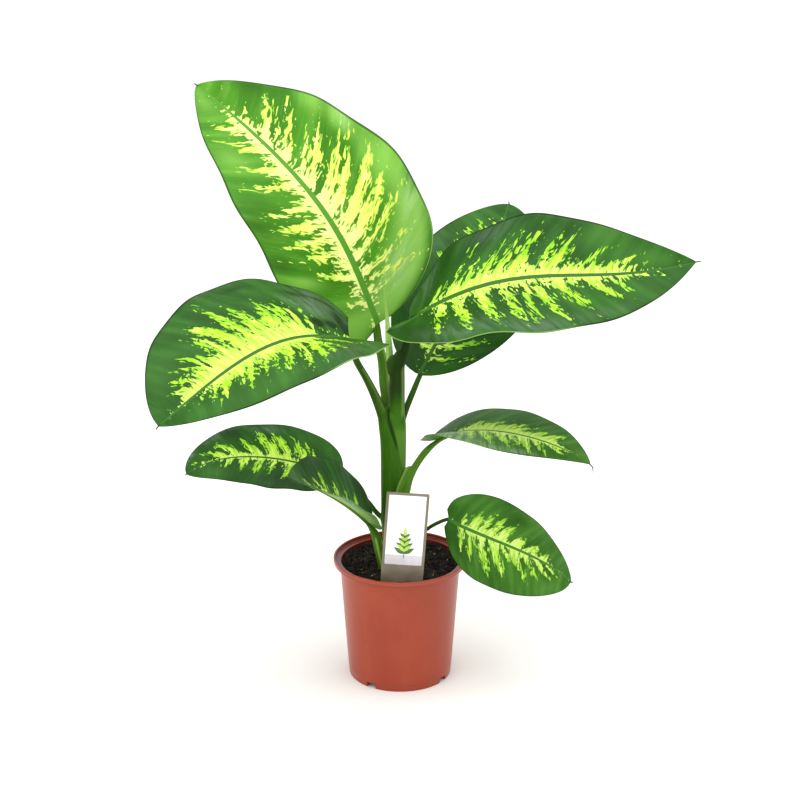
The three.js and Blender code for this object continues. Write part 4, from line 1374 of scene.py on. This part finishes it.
def label():
    half = LABEL_WIDTH / 2
    tip = LABEL_TIP_WIDTH / 2
    corner_x, corner_z = half - LABEL_CORNER, LABEL_HEIGHT - LABEL_CORNER
    card = [
        (tip, -LABEL_STAKE),
        (half, -LABEL_SHOULDER),
        *arc(corner_x, corner_z, LABEL_CORNER, 0, 90, 6),
        *arc(-corner_x, corner_z, LABEL_CORNER, 90, 180, 6),
        (-half, -LABEL_SHOULDER),
        (-tip, -LABEL_STAKE),
    ]
    side = half - LABEL_BORDER
    panel = rounded(-side, side, LABEL_BAND, LABEL_HEIGHT - LABEL_BORDER, LABEL_ROUNDING)
    ground = rounded(-side, side, LABEL_BAND, LABEL_BAND + LABEL_GROUND, LABEL_ROUNDING)
    dark, light = sprig()
    taupe = card_material("card_taupe", (120, 112, 92), (134, 124, 106), 0.5)
    white = card_material("card_white", (248, 248, 246), (252, 252, 250), 0.42)
    grey = card_material("card_grey", (206, 200, 204), (220, 216, 222), 0.45)
    green = card_material("card_green", (62, 96, 36), (82, 118, 44), 0.45)
    lime = card_material("card_lime", (160, 200, 70), (186, 220, 96), 0.45)
    face = LABEL_THICKNESS / 2
    layers = [
        ("label_card", [card], -face, face, taupe),
        ("label_panel", [panel], face, face + INLAY, white),
        ("label_back_panel", [panel], -face - INLAY, -face, white),
        ("label_ground", [ground], face + INLAY, face + 1.5 * INLAY, grey),
        ("label_sprig_dark", dark, face + 1.5 * INLAY, face + 2.5 * INLAY, green),
        ("label_sprig_light", light, face + 2.5 * INLAY, face + 3.5 * INLAY, lime),
    ]
    for name, outlines, back, front, material in layers:
        verts, faces = prism(outlines, back, front)
        mesh_object(name, verts, faces, material, "label_card", "label", smooth=False)


# Studio

def light(name, place, size, power):
    data = bpy.data.lights.new(name, "AREA")
    data.shape = "RECTANGLE"
    data.size, data.size_y = size
    data.energy = power
    lamp = linked(name, data)
    lamp.location = place
    x, y, z = np.subtract(LIGHT_AIM, place)
    lamp.rotation_euler = (math.atan2(math.hypot(x, y), -z), 0, math.atan2(-x, y))


def studio():
    world = bpy.data.worlds.new("studio")
    bpy.context.scene.world = world
    world.use_nodes = True
    background = world.node_tree.nodes["Background"]
    background.inputs["Color"].default_value = (1.0, 1.0, 1.0, 1.0)
    background.inputs["Strength"].default_value = SKY_STRENGTH
    for name, values in LIGHTS.items():
        light(name, *values)
    corners = [(x * FLOOR_REACH, y * FLOOR_REACH, 0) for x, y in ((-1, -1), (1, -1), (1, 1), (-1, 1))]
    floor = linked("floor", mesh_data("floor", corners, [(0, 1, 2, 3)]))
    g = Graph("floor_paper")
    tint = g.noise(g.object_place(), 6.0)
    floor.data.materials.append(g.finish(g.mix(tint, rgb(254, 254, 250), rgb(255, 255, 253)), 0.8, 0.0))
    bpy.context.scene.view_settings.view_transform = "Standard"


def camera():
    data = bpy.data.cameras.new("camera")
    data.lens = CAMERA_LENS
    data.sensor_width = CAMERA_SENSOR
    data.clip_end = CAMERA_FAR
    eye = linked("camera", data)
    eye.location = CAMERA_PLACE
    eye.rotation_euler = (math.radians(90 - CAMERA_PITCH_DEG), 0, 0)
    bpy.context.scene.camera = eye


def leaves():
    skins = {key: leaf_material(f"leaf_{key}_skin", **skin) for key, skin in LEAF_SKINS.items()}
    dry = card_material("drip_dry", (40, 44, 28), (70, 62, 44), 0.6)
    green = petiole_material()
    for seed, (name, values) in enumerate(LEAVES.items(), 1):
        leaf = prepared(values)
        blade(name, leaf, seed, skins[leaf["skin"]])
        petiole(name, leaf, green)
        if leaf["drip"]:
            drip(name, leaf, dry)


def soil():
    earth = soil_material("soil_skin", (16, 12, 8), (40, 30, 22), 0.95)
    soil_top(earth)
    lumps("soil_crumbs", CRUMBS, CRUMB_RADII, CRUMB_SINK, earth, SEED)
    grain = soil_material("grain_skin", (120, 116, 100), (190, 186, 170), 0.8)
    lumps("soil_grains", PALE_GRAINS, GRAIN_RADII, GRAIN_SINK, grain, SEED + 1)
    fibres(soil_material("fibre_skin", (70, 54, 40), (120, 100, 78), 0.8))


camera()
studio()
leaves()
stem(stem_material())
spear(spear_material())
pot(plastic_material())
soil()
label()
